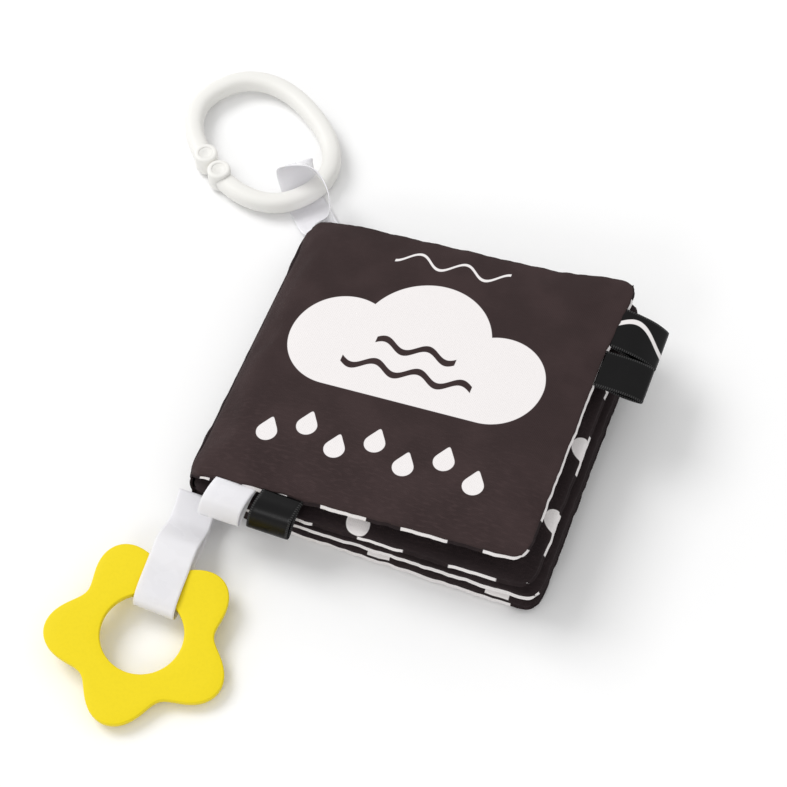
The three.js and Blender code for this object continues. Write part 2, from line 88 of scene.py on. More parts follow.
SPINE_LOW, SPINE_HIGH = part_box("outer_spine_fold")

# Ribbons
RIBBON_WIDTH = 15 * MM
WIDE_RIBBON_WIDTH = 17 * MM
LAYER_SPACING = 0.8 * MM
SEAT_GAP = 0.3 * MM
RIBBON_COLUMNS = 20
RIBBON_EDGE_SHARE = 0.45
PATH_SAMPLES = 24
LOOP_STEPS = 110
TAG_STEPS = 60
BEND_LENGTH = 18 * MM

# The ring: an oval bar split at a clasp of two upright bosses
RING_LENGTH = 71 * MM
RING_WIDTH = 53.6 * MM
RING_BAR = 7.4 * MM
RING_ROUNDNESS = 2.3
RING_CENTRE = (-97.3 * MM, 97.8 * MM)
RING_TURN = math.radians(144)
RING_LIFT = 1.5 * MM
CLASP_DIAMETER = 9 * MM
CLASP_HEIGHT = 8.8 * MM
CLASP_GAP = 0.6 * MM
CLASP_PLACE = math.radians(91)
RIBBON_CROSSING = math.radians(180)
RING_RIBBON_PLACE_SHARE = 0.096
RING_RIBBON_SLACK = 7.6 * MM

# The teether: a flat plate with five lobes and a round hole
TEETHER_MEAN_RADIUS = 28.9 * MM
TEETHER_LOBE_HEIGHT = 4.4 * MM
TEETHER_LOBE_SHARPNESS = -0.2 * MM
TEETHER_LOBES = 5
TEETHER_FIRST_LOBE = math.radians(55.3)
TEETHER_HOLE_RADIUS = 14.2 * MM
TEETHER_THICKNESS = 4.6 * MM
TEETHER_EDGE_ROUND = 1 * MM
TEETHER_UPPER_ROUND = 0.6 * MM
TEETHER_LOWER_ROUND = 2.6 * MM
TEETHER_CENTRE = (-53.05 * MM, -113.8 * MM)
TEETHER_RISE_SHARE = 0.1
TEETHER_RIBBON_PLACE_SHARE = 0.054
TEETHER_RIBBON_SPREAD = 5 * MM
TEETHER_RIBBON_SAG = 3 * MM
TEETHER_STEPS = 240
TEETHER_FLAT_SHARES = (0.3, 0.5, 0.7)
UPPER_ROUND_STEPS = 5
LOWER_ROUND_STEPS = 8

# The routes of the ribbons, as shares of their own length, height or reach
RING_RIBBON_FALL_SHARES = [(0.18, 0.42), (0.38, 0.84), (0.55, 1), (0.78, 1)]
FOOT_TAG_SHARES = [
    (0.38, 0), (0.74, 0.22), (0.95, 0.6), (1, 0.92), (0.9, 1), (0.74, 0.8), (0.5, 0.42), (0.25, 0.14),
]
SIDE_TAG_SHARES = [
    (0.3, 0.08), (0.7, 0.4), (0.95, 0.82), (1, 1), (0.92, 1.04), (0.6, 0.8), (0.25, 0.28),
]

# The camera of the photograph: angles round its target, distance and field of view
CAMERA_AZIMUTH = math.radians(22.02)
CAMERA_ELEVATION = math.radians(57.96)
CAMERA_ROLL = math.radians(-1.51)
CAMERA_DISTANCE = 771.49 * MM
CAMERA_TARGET = Vector((-9.12 * MM, 9.5 * MM, 0))
CAMERA_SENSOR = 36
CAMERA_LENS = 96.75


def length_setting(name, description, default):
    return bpy.props.FloatProperty(name=name, description=description, default=default, unit="LENGTH")


def angle_setting(name, description, degrees):
    return bpy.props.FloatProperty(
        name=name, description=description, default=math.radians(degrees), subtype="ANGLE")


def power_setting(name, description, default):
    return bpy.props.FloatProperty(name=name, description=description, default=default, unit="POWER")


def number_setting(name, description, default):
    return bpy.props.FloatProperty(name=name, description=description, default=default)


def colour_setting(name, description, default):
    return bpy.props.FloatVectorProperty(
        name=name, description=description, default=default, size=3, subtype="COLOR")


class BookSettings(bpy.types.PropertyGroup):
    """Sizes and colours of the cloth, the ribbons and the plastic."""

    grid_pitch: length_setting("Grid pitch", "Size of the leaves' mesh before it is subdivided", 2.5 * MM)
    pressure: number_setting("Pressure", "How hard the wadding presses the cloths apart", 4.0)
    slack_share: number_setting("Slack", "How much larger the cloths are than the leaf", 0.02)
    pucker_height: length_setting("Pucker height", "Depth of the small folds along a seam", 0.32 * MM)
    pucker_width: length_setting("Pucker width", "How far the small folds run in from a seam", 8 * MM)
    wave_height: length_setting("Wave height", "How far a seam waves up and down", 0.7 * MM)
    stitch_pitch: length_setting("Stitch pitch", "Distance between stitches", 2.8 * MM)
    weave_pitch: length_setting("Weave pitch", "Distance between threads of the printed cloth", 0.42 * MM)
    ribbon_thickness: length_setting("Ribbon thickness", "Thickness of the satin ribbon", 0.4 * MM)
    cover_colour: colour_setting("Cover colour", "Dark ground of the cover", (0.042, 0.027, 0.027))
    page_colour: colour_setting("Page colour", "Dark ground of the inner pages", (0.022, 0.015, 0.016))
    print_white: colour_setting("Print white", "White of the prints", (0.89, 0.855, 0.85))
    satin_white: colour_setting("White satin", "Colour of the white ribbon", (0.86, 0.85, 0.885))
    satin_black: colour_setting("Black satin", "Colour of the black ribbon", (0.003, 0.0028, 0.003))
    ring_colour: colour_setting("Ring colour", "Colour of the ring's plastic", (0.85, 0.84, 0.805))
    teether_colour: colour_setting("Teether colour", "Colour of the teether", (0.91, 0.715, 0.01))


class StageSettings(bpy.types.PropertyGroup):
    """The floor and the light round the book."""

    floor_size: length_setting("Floor size", "Side of the floor", 6.0)
    ambient: number_setting("Ambient", "Strength of the even light from all round", 0.84)
    lamp_distance: length_setting("Lamp distance", "How far the lamps are from the book", 3.0)
    key_power: power_setting("Key power", "Power of the large lamp on the left", 40.0)
    key_size: length_setting("Key size", "Side of the large lamp", 1.5)
    key_azimuth: angle_setting("Key azimuth", "Direction that the large lamp's light comes from", 168)
    key_elevation: angle_setting("Key elevation", "Height of the large lamp over the floor", 50)
    front_power: power_setting("Front power", "Power of the low lamp in front", 10.0)
    front_size: length_setting("Front size", "Side of the low lamp in front", 0.7)
    front_azimuth: angle_setting("Front azimuth", "Direction that the front lamp's light comes from", -98)
    front_elevation: angle_setting("Front elevation", "Height of the front lamp over the floor", 33)


# Shader formulas

FLAT_MAP = "flat"
MATERIALS = {}


class Value:
    """A socket of a node tree that takes part in formulas."""

    def __init__(self, tree, socket):
        self.tree = tree
        self.socket = socket

    def __add__(self, other):
        return self.tree.math("ADD", self, other)

    __radd__ = __add__

    def __sub__(self, other):
        return self.tree.math("SUBTRACT", self, other)

    def __rsub__(self, other):
        return self.tree.math("SUBTRACT", other, self)

    def __mul__(self, other):
        return self.tree.math("MULTIPLY", self, other)

    __rmul__ = __mul__

    def __neg__(self):
        return self.tree.math("SUBTRACT", 0, self)

    def __abs__(self):
        return self.tree.math("ABSOLUTE", self)

    def min(self, other):
        return self.tree.math("MINIMUM", self, other)

    def max(self, other):
        return self.tree.math("MAXIMUM", self, other)

    def sin(self):
        return self.tree.math("SINE", self)

    def cos(self):
        return self.tree.math("COSINE", self)

    def root(self):
        return self.tree.math("SQRT", self)

    def wrap(self, low, high):
        return self.tree.math("WRAP", self, high, low)

    def rise(self, low, high):
        """0 below low, 1 above high, and smooth between."""
        settings = {"interpolation_type": "SMOOTHSTEP"}
        sockets = {"Value": self, "From Min": low, "From Max": high}
        return self.tree.make("ShaderNodeMapRange", settings, sockets)


class Tree:
    """The nodes of one material, of the world or of a group of geometry nodes."""

    def __init__(self, node_tree):
        self.node_tree = node_tree
        node_tree.nodes.clear()

    def feed(self, socket, value):
        if isinstance(value, Value):
            self.node_tree.links.new(value.socket, socket)
        elif isinstance(value, tuple) and len(value) == 3 and socket.type == "RGBA":
            socket.default_value = (*value, 1)
        else:
            socket.default_value = value

    def make(self, kind, settings=None, sockets=None, output=0):
        """A node of that type, its settings made first, then the values or links of its sockets."""
        node = self.node_tree.nodes.new(kind)
        for name, value in (settings or {}).items():
            setattr(node, name, value)
        for name, value in (sockets or {}).items():
            self.feed(node.inputs[name], value)
        if not node.outputs:
            return node
        return Value(self, node.outputs[output])

    def math(self, operation, *operands):
        return self.make("ShaderNodeMath", {"operation": operation}, dict(enumerate(operands)))

    def mix(self, share, first, second, blend_type="MIX"):
        """A colour between two colours."""
        settings = {"data_type": "RGBA", "blend_type": blend_type}
        return self.make("ShaderNodeMix", settings, {0: share, 6: first, 7: second}, output=2)

    def parts(self, vector):
        """The three numbers of a vector."""
        split = self.make("ShaderNodeSeparateXYZ", sockets={0: vector})
        return [Value(self, socket) for socket in split.socket.node.outputs]

    def place(self):
        """Place in the frame that the whole book shares."""
        return self.make("ShaderNodeTexCoord", output="Object")

    def flat(self):
        """The two coordinates on the piece's own cloth, in metres."""
        return self.parts(self.make("ShaderNodeUVMap", {"uv_map": FLAT_MAP}))[:2]

    def noise(self, scale, detail=2.0, where=None):
        sockets = {"Vector": where or self.place(), "Scale": scale, "Detail": detail}
        return self.make("ShaderNodeTexNoise", sockets=sockets)

    def bump(self, height, distance, strength=1.0):
        sockets = {"Height": height, "Distance": distance, "Strength": strength}
        return self.make("ShaderNodeBump", sockets=sockets)

    def surface(self, sockets):
        """Ends the tree in one Principled shader."""
        shader = self.make("ShaderNodeBsdfPrincipled", sockets=sockets)
        self.make("ShaderNodeOutputMaterial", sockets={"Surface": shader})


def material(finish, *details):
    """The material that a function of this file makes, built once for each set of details."""
    key = (finish.__name__, *details)
    if key not in MATERIALS:
        made = bpy.data.materials.new("_".join(str(part) for part in key))
        made.use_nodes = True
        finish(Tree(made.node_tree), *details)
        MATERIALS[key] = made
    return MATERIALS[key]


def shaded(colour, factor, lift=0):
    """A colour made darker or paler."""
    return tuple(min(1, channel * factor + lift) for channel in colour)


def book_settings():
    return bpy.context.scene.cloth_book


def stage_settings():
    return bpy.context.scene.cloth_book_stage


# Printed shapes: each gives the distance inside its outline, less than 0 outside it

DROP_SQUEEZE_SHARE = 0.55
DROP_POINT_SHARE = 0.62
PRINT_EDGE = 0.12 * MM


def disc(x, y, centre, radius):
    away_x = x - centre[0]
    away_y = y - centre[1]
    return radius - (away_x * away_x + away_y * away_y).root()


def block(x, y, centre, half_width, half_height):
    return (half_width - abs(x - centre[0])).min(half_height - abs(y - centre[1]))


def wave_line(x, y, height, amplitude, length, width, reach):
    """A wavy line of that width, between -reach and reach along x."""
    line = (x * (2 * math.pi / length)).sin() * amplitude + height
    return (width / 2 - abs(y - line)).min(reach - abs(x))


def drop(x, y, centre, radius):
    """A drop with its point up: a disc whose upper half narrows."""
    away_x = x - centre[0]
    away_y = y - centre[1]
    above = away_y.max(0) * (1 / radius)
    squeeze = 1 + above * above * DROP_SQUEEZE_SHARE
    away_x = away_x * squeeze
    lifted = away_y.max(0) * DROP_POINT_SHARE + away_y.min(0)
    return radius - (away_x * away_x + lifted * lifted).root()


# The cover's design, on the page's own coordinates
CLOUD_DISCS = [((-27 * MM, 6 * MM), 19 * MM), ((1 * MM, 14 * MM), 24 * MM), ((30 * MM, 5 * MM), 18 * MM)]
CLOUD_BASE = ((1.5 * MM, -4 * MM), 28.5 * MM, 9 * MM)
CLOUD_LINES = [(-1 * MM, 24 * MM), (9 * MM, 15 * MM)]
CLOUD_LINE_WIDTH = 2.6 * MM
CLOUD_LINE_AMPLITUDE = 1.9 * MM
CLOUD_LINE_LENGTH = 16 * MM
BREEZE_HEIGHT = 47 * MM
BREEZE_AMPLITUDE = 2.4 * MM
BREEZE_LENGTH = 17 * MM
BREEZE_WIDTH = 1.1 * MM
BREEZE_REACH = 21 * MM
DROP_ROW_HEIGHT = -34 * MM
DROP_ROW_STEP = 3 * MM
DROP_PITCH = 12.5 * MM
DROP_RADIUS = 3.7 * MM
DROP_ROW_REACH = 44 * MM


def cover_print(x, y):
    """A cloud over a row of drops, with a thin wavy line above it."""
    cloud = block(x, y, *CLOUD_BASE)
    for centre, radius in CLOUD_DISCS:
        cloud = cloud.max(disc(x, y, centre, radius))
    for height, reach in CLOUD_LINES:
        line = wave_line(
            x, y, height, CLOUD_LINE_AMPLITUDE, CLOUD_LINE_LENGTH, CLOUD_LINE_WIDTH, reach)
        cloud = cloud.min(-line)
    breeze = wave_line(x, y, BREEZE_HEIGHT, BREEZE_AMPLITUDE, BREEZE_LENGTH, BREEZE_WIDTH, BREEZE_REACH)
    along = x.wrap(-DROP_PITCH / 2, DROP_PITCH / 2)
    stagger = ((x - along) * (math.pi / DROP_PITCH)).cos()
    drops = drop(along, y - stagger * DROP_ROW_STEP, (0, DROP_ROW_HEIGHT), DROP_RADIUS)
    drops = drops.min(DROP_ROW_REACH - abs(x))
    return cloud.max(breeze).max(drops)


# The inner pages' patterns, on the page's own coordinates
LARGE_DOT_START = (-1.5 * MM, -57 * MM)
LARGE_DOT_PITCH = (29 * MM, 28 * MM)
LARGE_DOT_RADIUS = 8.3 * MM
DOTS_START_X = -55 * MM
OPEN_BAND_X = 58.5 * MM
OPEN_BAND_ENDS = (-41 * MM, 50 * MM)
DARK_CORNER = ((62 * MM, 57 * MM), 14 * MM, 12 * MM)
SMALL_DOT_START = (3 * MM, -54.1 * MM)
SMALL_DOT_PITCH = (62 * MM, 30 * MM)
SMALL_DOT_RADIUS = 4.3 * MM
SMALL_DOT_SLANT_SHARE = 0.139
SMALL_DOTS_END_Y = 48 * MM
CHECK_SIDE = 16.5 * MM
CHECK_START = (4 * MM, -62 * MM)
INNER_PRINT_START_X = -46 * MM
FOOT_BORDER_Y = -53.5 * MM
DASH_START = (9 * MM, -30 * MM)
DASH_PITCH = (34 * MM, 19 * MM)
DASH_HALF_SIZE = (8 * MM, 2.6 * MM)
TILE_START = (10.6 * MM, -54.8 * MM)
TILE_PITCH = (43 * MM, 24 * MM)
TILE_HALF_SIZE = (4 * MM, 1.9 * MM)
FOOT_BAND_Y = -49.5 * MM
FOOT_BAND_ENDS = (-25 * MM, 58 * MM)


def rows_of(x, y, start, pitch):
    """Coordinates inside the nearest cell of a pattern that repeats from a start."""
    along = (x - start[0]).wrap(-pitch[0] / 2, pitch[0] / 2)
    up = (y - start[1]).wrap(-pitch[1] / 2, pitch[1] / 2)
    return along, up


def large_dots_print(x, y):
    """Rows of large dots, with a white band down the open side."""
    along, up = rows_of(x, y, LARGE_DOT_START, LARGE_DOT_PITCH)
    band = (x - OPEN_BAND_X).min(y - OPEN_BAND_ENDS[0]).min(OPEN_BAND_ENDS[1] - y)
    dots = disc(along, up, (0, 0), LARGE_DOT_RADIUS).min(x - DOTS_START_X)
    return dots.min(-block(x, y, *DARK_CORNER)).max(band)


def small_dots_print(x, y):
    """Small dots in slanting rows."""
    along, up = rows_of(x, y + x * SMALL_DOT_SLANT_SHARE, SMALL_DOT_START, SMALL_DOT_PITCH)
    return disc(along, up, (0, 0), SMALL_DOT_RADIUS).min(SMALL_DOTS_END_Y - y)


def checks_print(x, y):
    """Softly rounded checks."""
    turn = math.pi / CHECK_SIDE
    product = ((x - CHECK_START[0]) * turn).sin() * ((y - CHECK_START[1]) * turn).sin()
    return (product * (CHECK_SIDE / 4)).min(x - INNER_PRINT_START_X)


def foot_border_print(x, y):
    """A white band along the foot under rows of short dashes."""
    along, up = rows_of(x, y, DASH_START, DASH_PITCH)
    return block(along, up, (0, 0), *DASH_HALF_SIZE).max(FOOT_BORDER_Y - y).min(x - INNER_PRINT_START_X)


def tiles_print(x, y):
    """Small upright blocks in wide rows."""
    along, up = rows_of(x, y, TILE_START, TILE_PITCH)
    return block(along, up, (0, 0), *TILE_HALF_SIZE)


def foot_band_print(x, y):
    """A plain light band along the foot."""
    return (FOOT_BAND_Y - y).min(x - FOOT_BAND_ENDS[0]).min(FOOT_BAND_ENDS[1] - x)


def plain_print(x, y):
    """No print at all."""
    return x * 0 - 1


PRINTS = {
    "cover": cover_print,
    "large_dots": large_dots_print,
    "small_dots": small_dots_print,
    "checks": checks_print,
    "foot_border": foot_border_print,
    "tiles": tiles_print,
    "foot_band": foot_band_print,
    "plain": plain_print,
}


def weave(tree, x, y, pitch):
    """Height of a plain weave, between 0 and 1: threads that pass over and under each other."""
    turn = math.pi / pitch
    warp = (x * turn).sin()
    weft = (y * turn).sin()
    return (warp * weft) * 0.5 + 0.5


# Materials

CLOTH_CLOUDS_PER_METRE = 55.0
CLOTH_SPECKLES_PER_METRE = 1900.0
# Creases near the foot: real bumps, whose ridges also carry a painted sheen in the ground colour
CREASE_PITCH = 0.9 * MM
CREASE_SHARE = 0.28
CREASE_DEPTH = 0.4 * MM
CREASES_START = 5 * MM
CREASES_FULL = 45 * MM
CREASES_LEAST_SHARE = 0.2


def printed_cloth(tree, print_name, ground):
    """Fine woven polyester with a white print on a dark ground, and a painted sheen on the creases near
    the foot.
    """
    settings = book_settings()
    x, y = tree.flat()
    inked = PRINTS[print_name](x, y).rise(-PRINT_EDGE, PRINT_EDGE)
    threads = weave(tree, x, y, settings.weave_pitch)
    cloudy = tree.noise(CLOTH_CLOUDS_PER_METRE, 3.0)
    speckle = tree.noise(CLOTH_SPECKLES_PER_METRE, 1.0)
    stretched = tree.make("ShaderNodeCombineXYZ", sockets={"X": x * CREASE_SHARE, "Y": y})
    creases_and_sheen = tree.noise(1 / CREASE_PITCH, 2.0, stretched)
    near_foot = (-y).rise(CREASES_START, CREASES_FULL) * (1 - CREASES_LEAST_SHARE) + CREASES_LEAST_SHARE
    dark = tuple(getattr(settings, ground))
    lighter = shaded(dark, 1.16)
    ground_colour = tree.mix(cloudy.rise(0.35, 0.7), shaded(dark, 0.9), lighter)
    ground_colour = tree.mix(speckle.rise(0.55, 0.85) * 0.35, ground_colour, lighter)
    # Painted sheen: the dark ground is painted paler on the ridges of the creases near the foot
    ground_colour = tree.mix(creases_and_sheen.rise(0.45, 0.75) * near_foot * 0.45, ground_colour, shaded(dark, 1.6))
    white = tuple(settings.print_white)
    print_colour = tree.mix(threads * 0.35 + cloudy * 0.3, white, shaded(white, 0.9))
    tree.surface({
        "Base Color": tree.mix(inked, ground_colour, print_colour),
        "Roughness": 0.85 + threads * 0.1,
        "Specular IOR Level": 0.15,
        "Normal": tree.bump(threads * 0.3 + speckle * 0.15 + creases_and_sheen * near_foot, CREASE_DEPTH, 0.6),
    })


RIB_PITCH = 0.35 * MM
SATIN_GLOW_DEPTH = 1.2 * MM
PICOT_PITCH = 0.8 * MM
SELVEDGE_WIDTH = 0.9 * MM
WAVE_LINE_WIDTH = 2 * MM
WAVE_LINE_CENTRE = 1 * MM
WAVE_LINE_AMPLITUDE = 3.8 * MM
WAVE_LINE_LENGTH = 28 * MM
RIB_DEPTH = 0.02 * MM
SATIN_CLOUDS_PER_METRE = 120.0


def satin(tree, colour, wave_width):
    """Woven satin ribbon with a fine cross rib and a firmer selvedge, and a wave line where it has one."""
    settings = book_settings()
    across, along = tree.flat()
    base = tuple(getattr(settings, colour))
    rib = (along * (2 * math.pi / RIB_PITCH)).sin() * 0.5 + 0.5
    cloudy = tree.noise(SATIN_CLOUDS_PER_METRE)
    half_width = (WIDE_RIBBON_WIDTH if wave_width else RIBBON_WIDTH) / 2
    selvedge = (abs(across) - (half_width - SELVEDGE_WIDTH)).rise(0, SELVEDGE_WIDTH / 4)
    picots = (along * (2 * math.pi / PICOT_PITCH)).sin().rise(0.2, 0.8) * selvedge
    body = tree.mix(cloudy.rise(0.3, 0.8), base, shaded(base, 1.02, 0.001))
    body = tree.mix(picots * 0.6, body, shaded(base, 0.86, 0.1))
    if wave_width:
        line = wave_line(
            along, across, WAVE_LINE_CENTRE, WAVE_LINE_AMPLITUDE, WAVE_LINE_LENGTH, wave_width, 1)
        white = tuple(settings.print_white)
        body = tree.mix(line.rise(-PRINT_EDGE, PRINT_EDGE), body, white)
    tree.surface({
        "Base Color": body,
        "Roughness": 0.24 + selvedge * 0.25 + cloudy * 0.06,
        "Specular IOR Level": 0.2,
        "Subsurface Weight": 0.4 if colour == "satin_white" else 0,
        "Subsurface Radius": (1, 1, 1),
        "Subsurface Scale": SATIN_GLOW_DEPTH,
        "Normal": tree.bump(rib * 0.3 + picots, RIB_DEPTH, 0.35),
    })


THREAD_DARK = (0.02, 0.015, 0.015)
THREAD_PALE = (0.06, 0.05, 0.05)
THREAD_TWISTS_PER_METRE = 2500.0


def thread(tree):
    """Twisted sewing thread, dark as the cloth."""
    twist = tree.noise(THREAD_TWISTS_PER_METRE, 1.0)
    tree.surface({
        "Base Color": tree.mix(twist, THREAD_DARK, THREAD_PALE),
        "Roughness": 0.7 + twist * 0.1,
    })


PLASTIC_GLOW_DEPTH = 1.5 * MM
FLOW_DEPTH = 0.05 * MM
FLOW_MARKS_PER_METRE = 90.0


def ring_plastic(tree):
    """Smooth moulded plastic with faint flow marks."""
    settings = book_settings()
    colour = tuple(settings.ring_colour)
    flow = tree.noise(FLOW_MARKS_PER_METRE, 3.0)
    tree.surface({
        "Base Color": tree.mix(flow, colour, shaded(colour, 1.03)),
        "Roughness": 0.45 + flow * 0.1,
        "Subsurface Weight": 0.3,
        "Subsurface Radius": (1, 1, 1),
        "Subsurface Scale": PLASTIC_GLOW_DEPTH,
        "Normal": tree.bump(flow, FLOW_DEPTH, 0.3),
    })


RUBBER_GRAIN_DEPTH = 0.02 * MM
RUBBER_GRAINS_PER_METRE = 900.0
RUBBER_CLOUDS_PER_METRE = 45.0


def teether_rubber(tree):
    """Satin moulded silicone with a fine grain."""
    settings = book_settings()
    colour = tuple(settings.teether_colour)
    grain = tree.noise(RUBBER_GRAINS_PER_METRE)
    cloudy = tree.noise(RUBBER_CLOUDS_PER_METRE)
    tree.surface({
        "Base Color": tree.mix(grain.rise(0.4, 0.7) * 0.4 + cloudy * 0.3, colour, shaded(colour, 0.95)),
        "Roughness": 0.42 + grain * 0.12,
        "Specular IOR Level": 0.22,
        "Normal": tree.bump(grain, RUBBER_GRAIN_DEPTH, 0.4),
    })


# Meshes


def new_object(name, vertices, faces, materials, material_of=None):
    """A smooth mesh object at the origin."""
    mesh = bpy.data.meshes.new(name)
    mesh.from_pydata([tuple(vertex) for vertex in vertices], [], faces)
    mesh.update()
    made = bpy.data.objects.new(name, mesh)
    bpy.context.scene.collection.objects.link(made)
    for one in materials:
        mesh.materials.append(one)
    if material_of is not None:
        mesh.polygons.foreach_set("material_index", material_of)
    mesh.polygons.foreach_set("use_smooth", [True] * len(faces))
    return made


def write_flat_map(made, flat_points):
    """Keeps each vertex's place on the flat cloth, in metres, as the UV map."""
    layer = made.data.uv_layers.new(name=FLAT_MAP)
    for loop in made.data.loops:
        layer.data[loop.index].uv = flat_points[loop.vertex_index]


def outward(made):
    """Turns the faces of a closed mesh outwards."""
    mesh = bmesh.new()
    mesh.from_mesh(made.data)
    bmesh.ops.recalc_face_normals(mesh, faces=mesh.faces)
    mesh.to_mesh(made.data)
    mesh.free()


def subdivide(made, levels):
    modifier = made.modifiers.new("subdivision", "SUBSURF")
    modifier.levels = levels
    modifier.render_levels = levels
    apply_modifiers(made)


def apply_modifiers(made):
    """Turns the evaluated shape into the plain mesh."""
    graph = bpy.context.evaluated_depsgraph_get()
    finished = bpy.data.meshes.new_from_object(made.evaluated_get(graph), depsgraph=graph)
    made.modifiers.clear()
    made.data = finished


def swept_faces(rings, around, closed=False):
    """Faces between the rings of points that a section leaves on its way, with open ends capped."""
    faces = []
    for ring in range(rings if closed else rings - 1):
        low = ring * around
        high = (ring + 1) % rings * around
        for place in range(around):
            after = (place + 1) % around
            faces.append([low + place, low + after, high + after, high + place])
    if not closed:
        faces.append(list(range(around))[::-1])
        faces.append([high + place for place in range(around)])
    return faces


def even_points(points, steps, inset=0):
    """Points at even distances along a line of closer ones, and the line's whole length."""
    dense = np.array(points)
    lengths = np.concatenate([[0], np.cumsum(np.linalg.norm(np.diff(dense, axis=0), axis=1))])
    places = np.linspace(inset, lengths[-1] - inset, steps + 1)
    even = np.stack([np.interp(places, lengths, dense[:, axis]) for axis in range(3)], axis=1)
    return even, lengths[-1]


def arc(centre, radius, from_angle, to_angle, steps):
    """Points of a round stretch of an outline or a profile."""
    angles = [from_angle + (to_angle - from_angle) * step / steps for step in range(steps + 1)]
    return [(centre[0] + radius * math.cos(a), centre[1] + radius * math.sin(a)) for a in angles]


# Leaves

NO_PULL = (0, 0, 0)
COVER_PULL = (2.2 * MM, 4.4 * MM, -1 * MM)
PAGE_PULL = (0.9 * MM, 6 * MM, 1.5 * MM)
PULL_REACH = 30 * MM
SWELL_FRAMES = 20
CLOTH_QUALITY = 6
TENSION_STIFFNESS = 15
BENDING_STIFFNESS = 0.6
HIDDEN_SWELL_LIMIT = 0.4 * MM
COVER_SWELL_LIMIT = 1.4 * MM
PUCKER_PITCH = 3.2 * MM
PUCKER_LENGTH = 9 * MM
PUCKER_FADE = 1.5
SWELL_PITCH = 9 * MM
WAVE_PITCH = 6.5 * MM


class Leaf:
    """One padded leaf: where its faces and its stitched edge lie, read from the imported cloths."""

    def __init__(self, body, cloths, seam_share, root, root_crown, prints, upper_ground, corner_pull):
        self.body = body
        self.nodes = [f"{body}_{name}" for name in (*cloths, "wadding")]
        self.seam_share = seam_share
        self.root_x, self.root_height = root
        self.root_crown = root_crown
        self.prints = prints
        self.grounds = ("page_colour", upper_ground)
        self.corner_pull = corner_pull
        low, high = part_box(self.nodes[0])
        self.fore_x = high.x
        self.foot, self.head = low.y, high.y
        self.shift = (low.y + high.y) / 2
        stations = (NEAR_STATION, FAR_STATION)
        self.low = [self.face_height(self.nodes[0], station, -1) for station in stations]
        self.high = [self.face_height(self.nodes[1], station, 1) for station in stations]

    def face_height(self, node, station, side):
        """Height of a cloth's outer face in the middle of the leaf, that far from the spine."""
        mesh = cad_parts[node].data
        corners = [vertex.co for vertex in mesh.vertices]
        tree = BVHTree.FromPolygons(corners, [polygon.vertices[:] for polygon in mesh.polygons])
        start = Vector((SPINE_X + station, self.shift, side))
        return tree.ray_cast(start, Vector((0, 0, -side)))[0].z

    def pulled(self, x, y):
        """How far the open corner at the head is drawn out of the square, over points of the page."""
        near_fore = np.clip(1 - (self.fore_x - x) / PULL_REACH, 0, 1)
        near_head = np.clip(1 - (self.head - y) / PULL_REACH, 0, 1)
        share = near_fore * near_head
        return [share * distance for distance in self.corner_pull]

    def plane(self, heights, x):
        share = (x - SPINE_X - NEAR_STATION) / (FAR_STATION - NEAR_STATION)
        return heights[0] + (heights[1] - heights[0]) * share

    def heights(self, x, y):
        """Heights of the lower face, the seam and the upper face over points of the page."""
        root_share = crown(x - self.root_x, self.root_crown)
        side_distance = (self.head - self.foot) / 2 - np.abs(y - self.shift)
        fullness = root_share * crown(self.fore_x - x, CROWN_WIDTH) * crown(side_distance, CROWN_WIDTH)
        low = self.plane(self.low, x)
        high = self.plane(self.high, x)
        seam_plane = low + (high - low) * self.seam_share
        seam = self.root_height + (seam_plane - self.root_height) * root_share
        return seam + (low - seam) * fullness, seam, seam + (high - seam) * fullness


def crown(distance, width):
    """Quarter-round rise of the padding, from 0 at a seam to 1 at that width from it."""
    share = np.clip(distance / width, 0, 1)
    return np.sqrt(1 - (1 - share) ** 2)


def bulge(distance, depth):
    """How far a cloth stands out past its own seam, at a distance in from that seam."""
    share = np.clip(distance / CROWN_WIDTH, 0, 1)
    return depth * np.sin(math.pi * np.sqrt(share))


def grid_lines(low, high, pitch):
    """Places of a grid's lines, closer together near both ends."""
    edge = CROWN_WIDTH * np.array(EDGE_LINE_SHARES)
    inner_low, inner_high = low + CROWN_WIDTH, high - CROWN_WIDTH
    inner = np.linspace(inner_low, inner_high, round((inner_high - inner_low) / pitch) + 1)
    return np.concatenate([low + edge, inner, (high - edge)[::-1]])


def rounded_page(leaf, x, y):
    """Draws the square corners of a grid in to round ones, row by row."""
    middle_x = (leaf.root_x + leaf.fore_x) / 2
    reach_x = (leaf.fore_x - leaf.root_x) / 2 - PAGE_CORNER_RADIUS
    reach_y = (leaf.head - leaf.foot) / 2 - PAGE_CORNER_RADIUS
    over_x = np.abs(x - middle_x) - reach_x
    over_y = np.abs(y - leaf.shift) - reach_y
    in_corner = (over_x > 0) & (over_y > 0)
    pull = np.maximum(over_x, over_y) / np.maximum(np.hypot(over_x, over_y), TINY)
    round_x = middle_x + np.sign(x - middle_x) * (reach_x + over_x * pull)
    round_y = leaf.shift + np.sign(y - leaf.shift) * (reach_y + over_y * pull)
    return np.where(in_corner, round_x, x), np.where(in_corner, round_y, y)


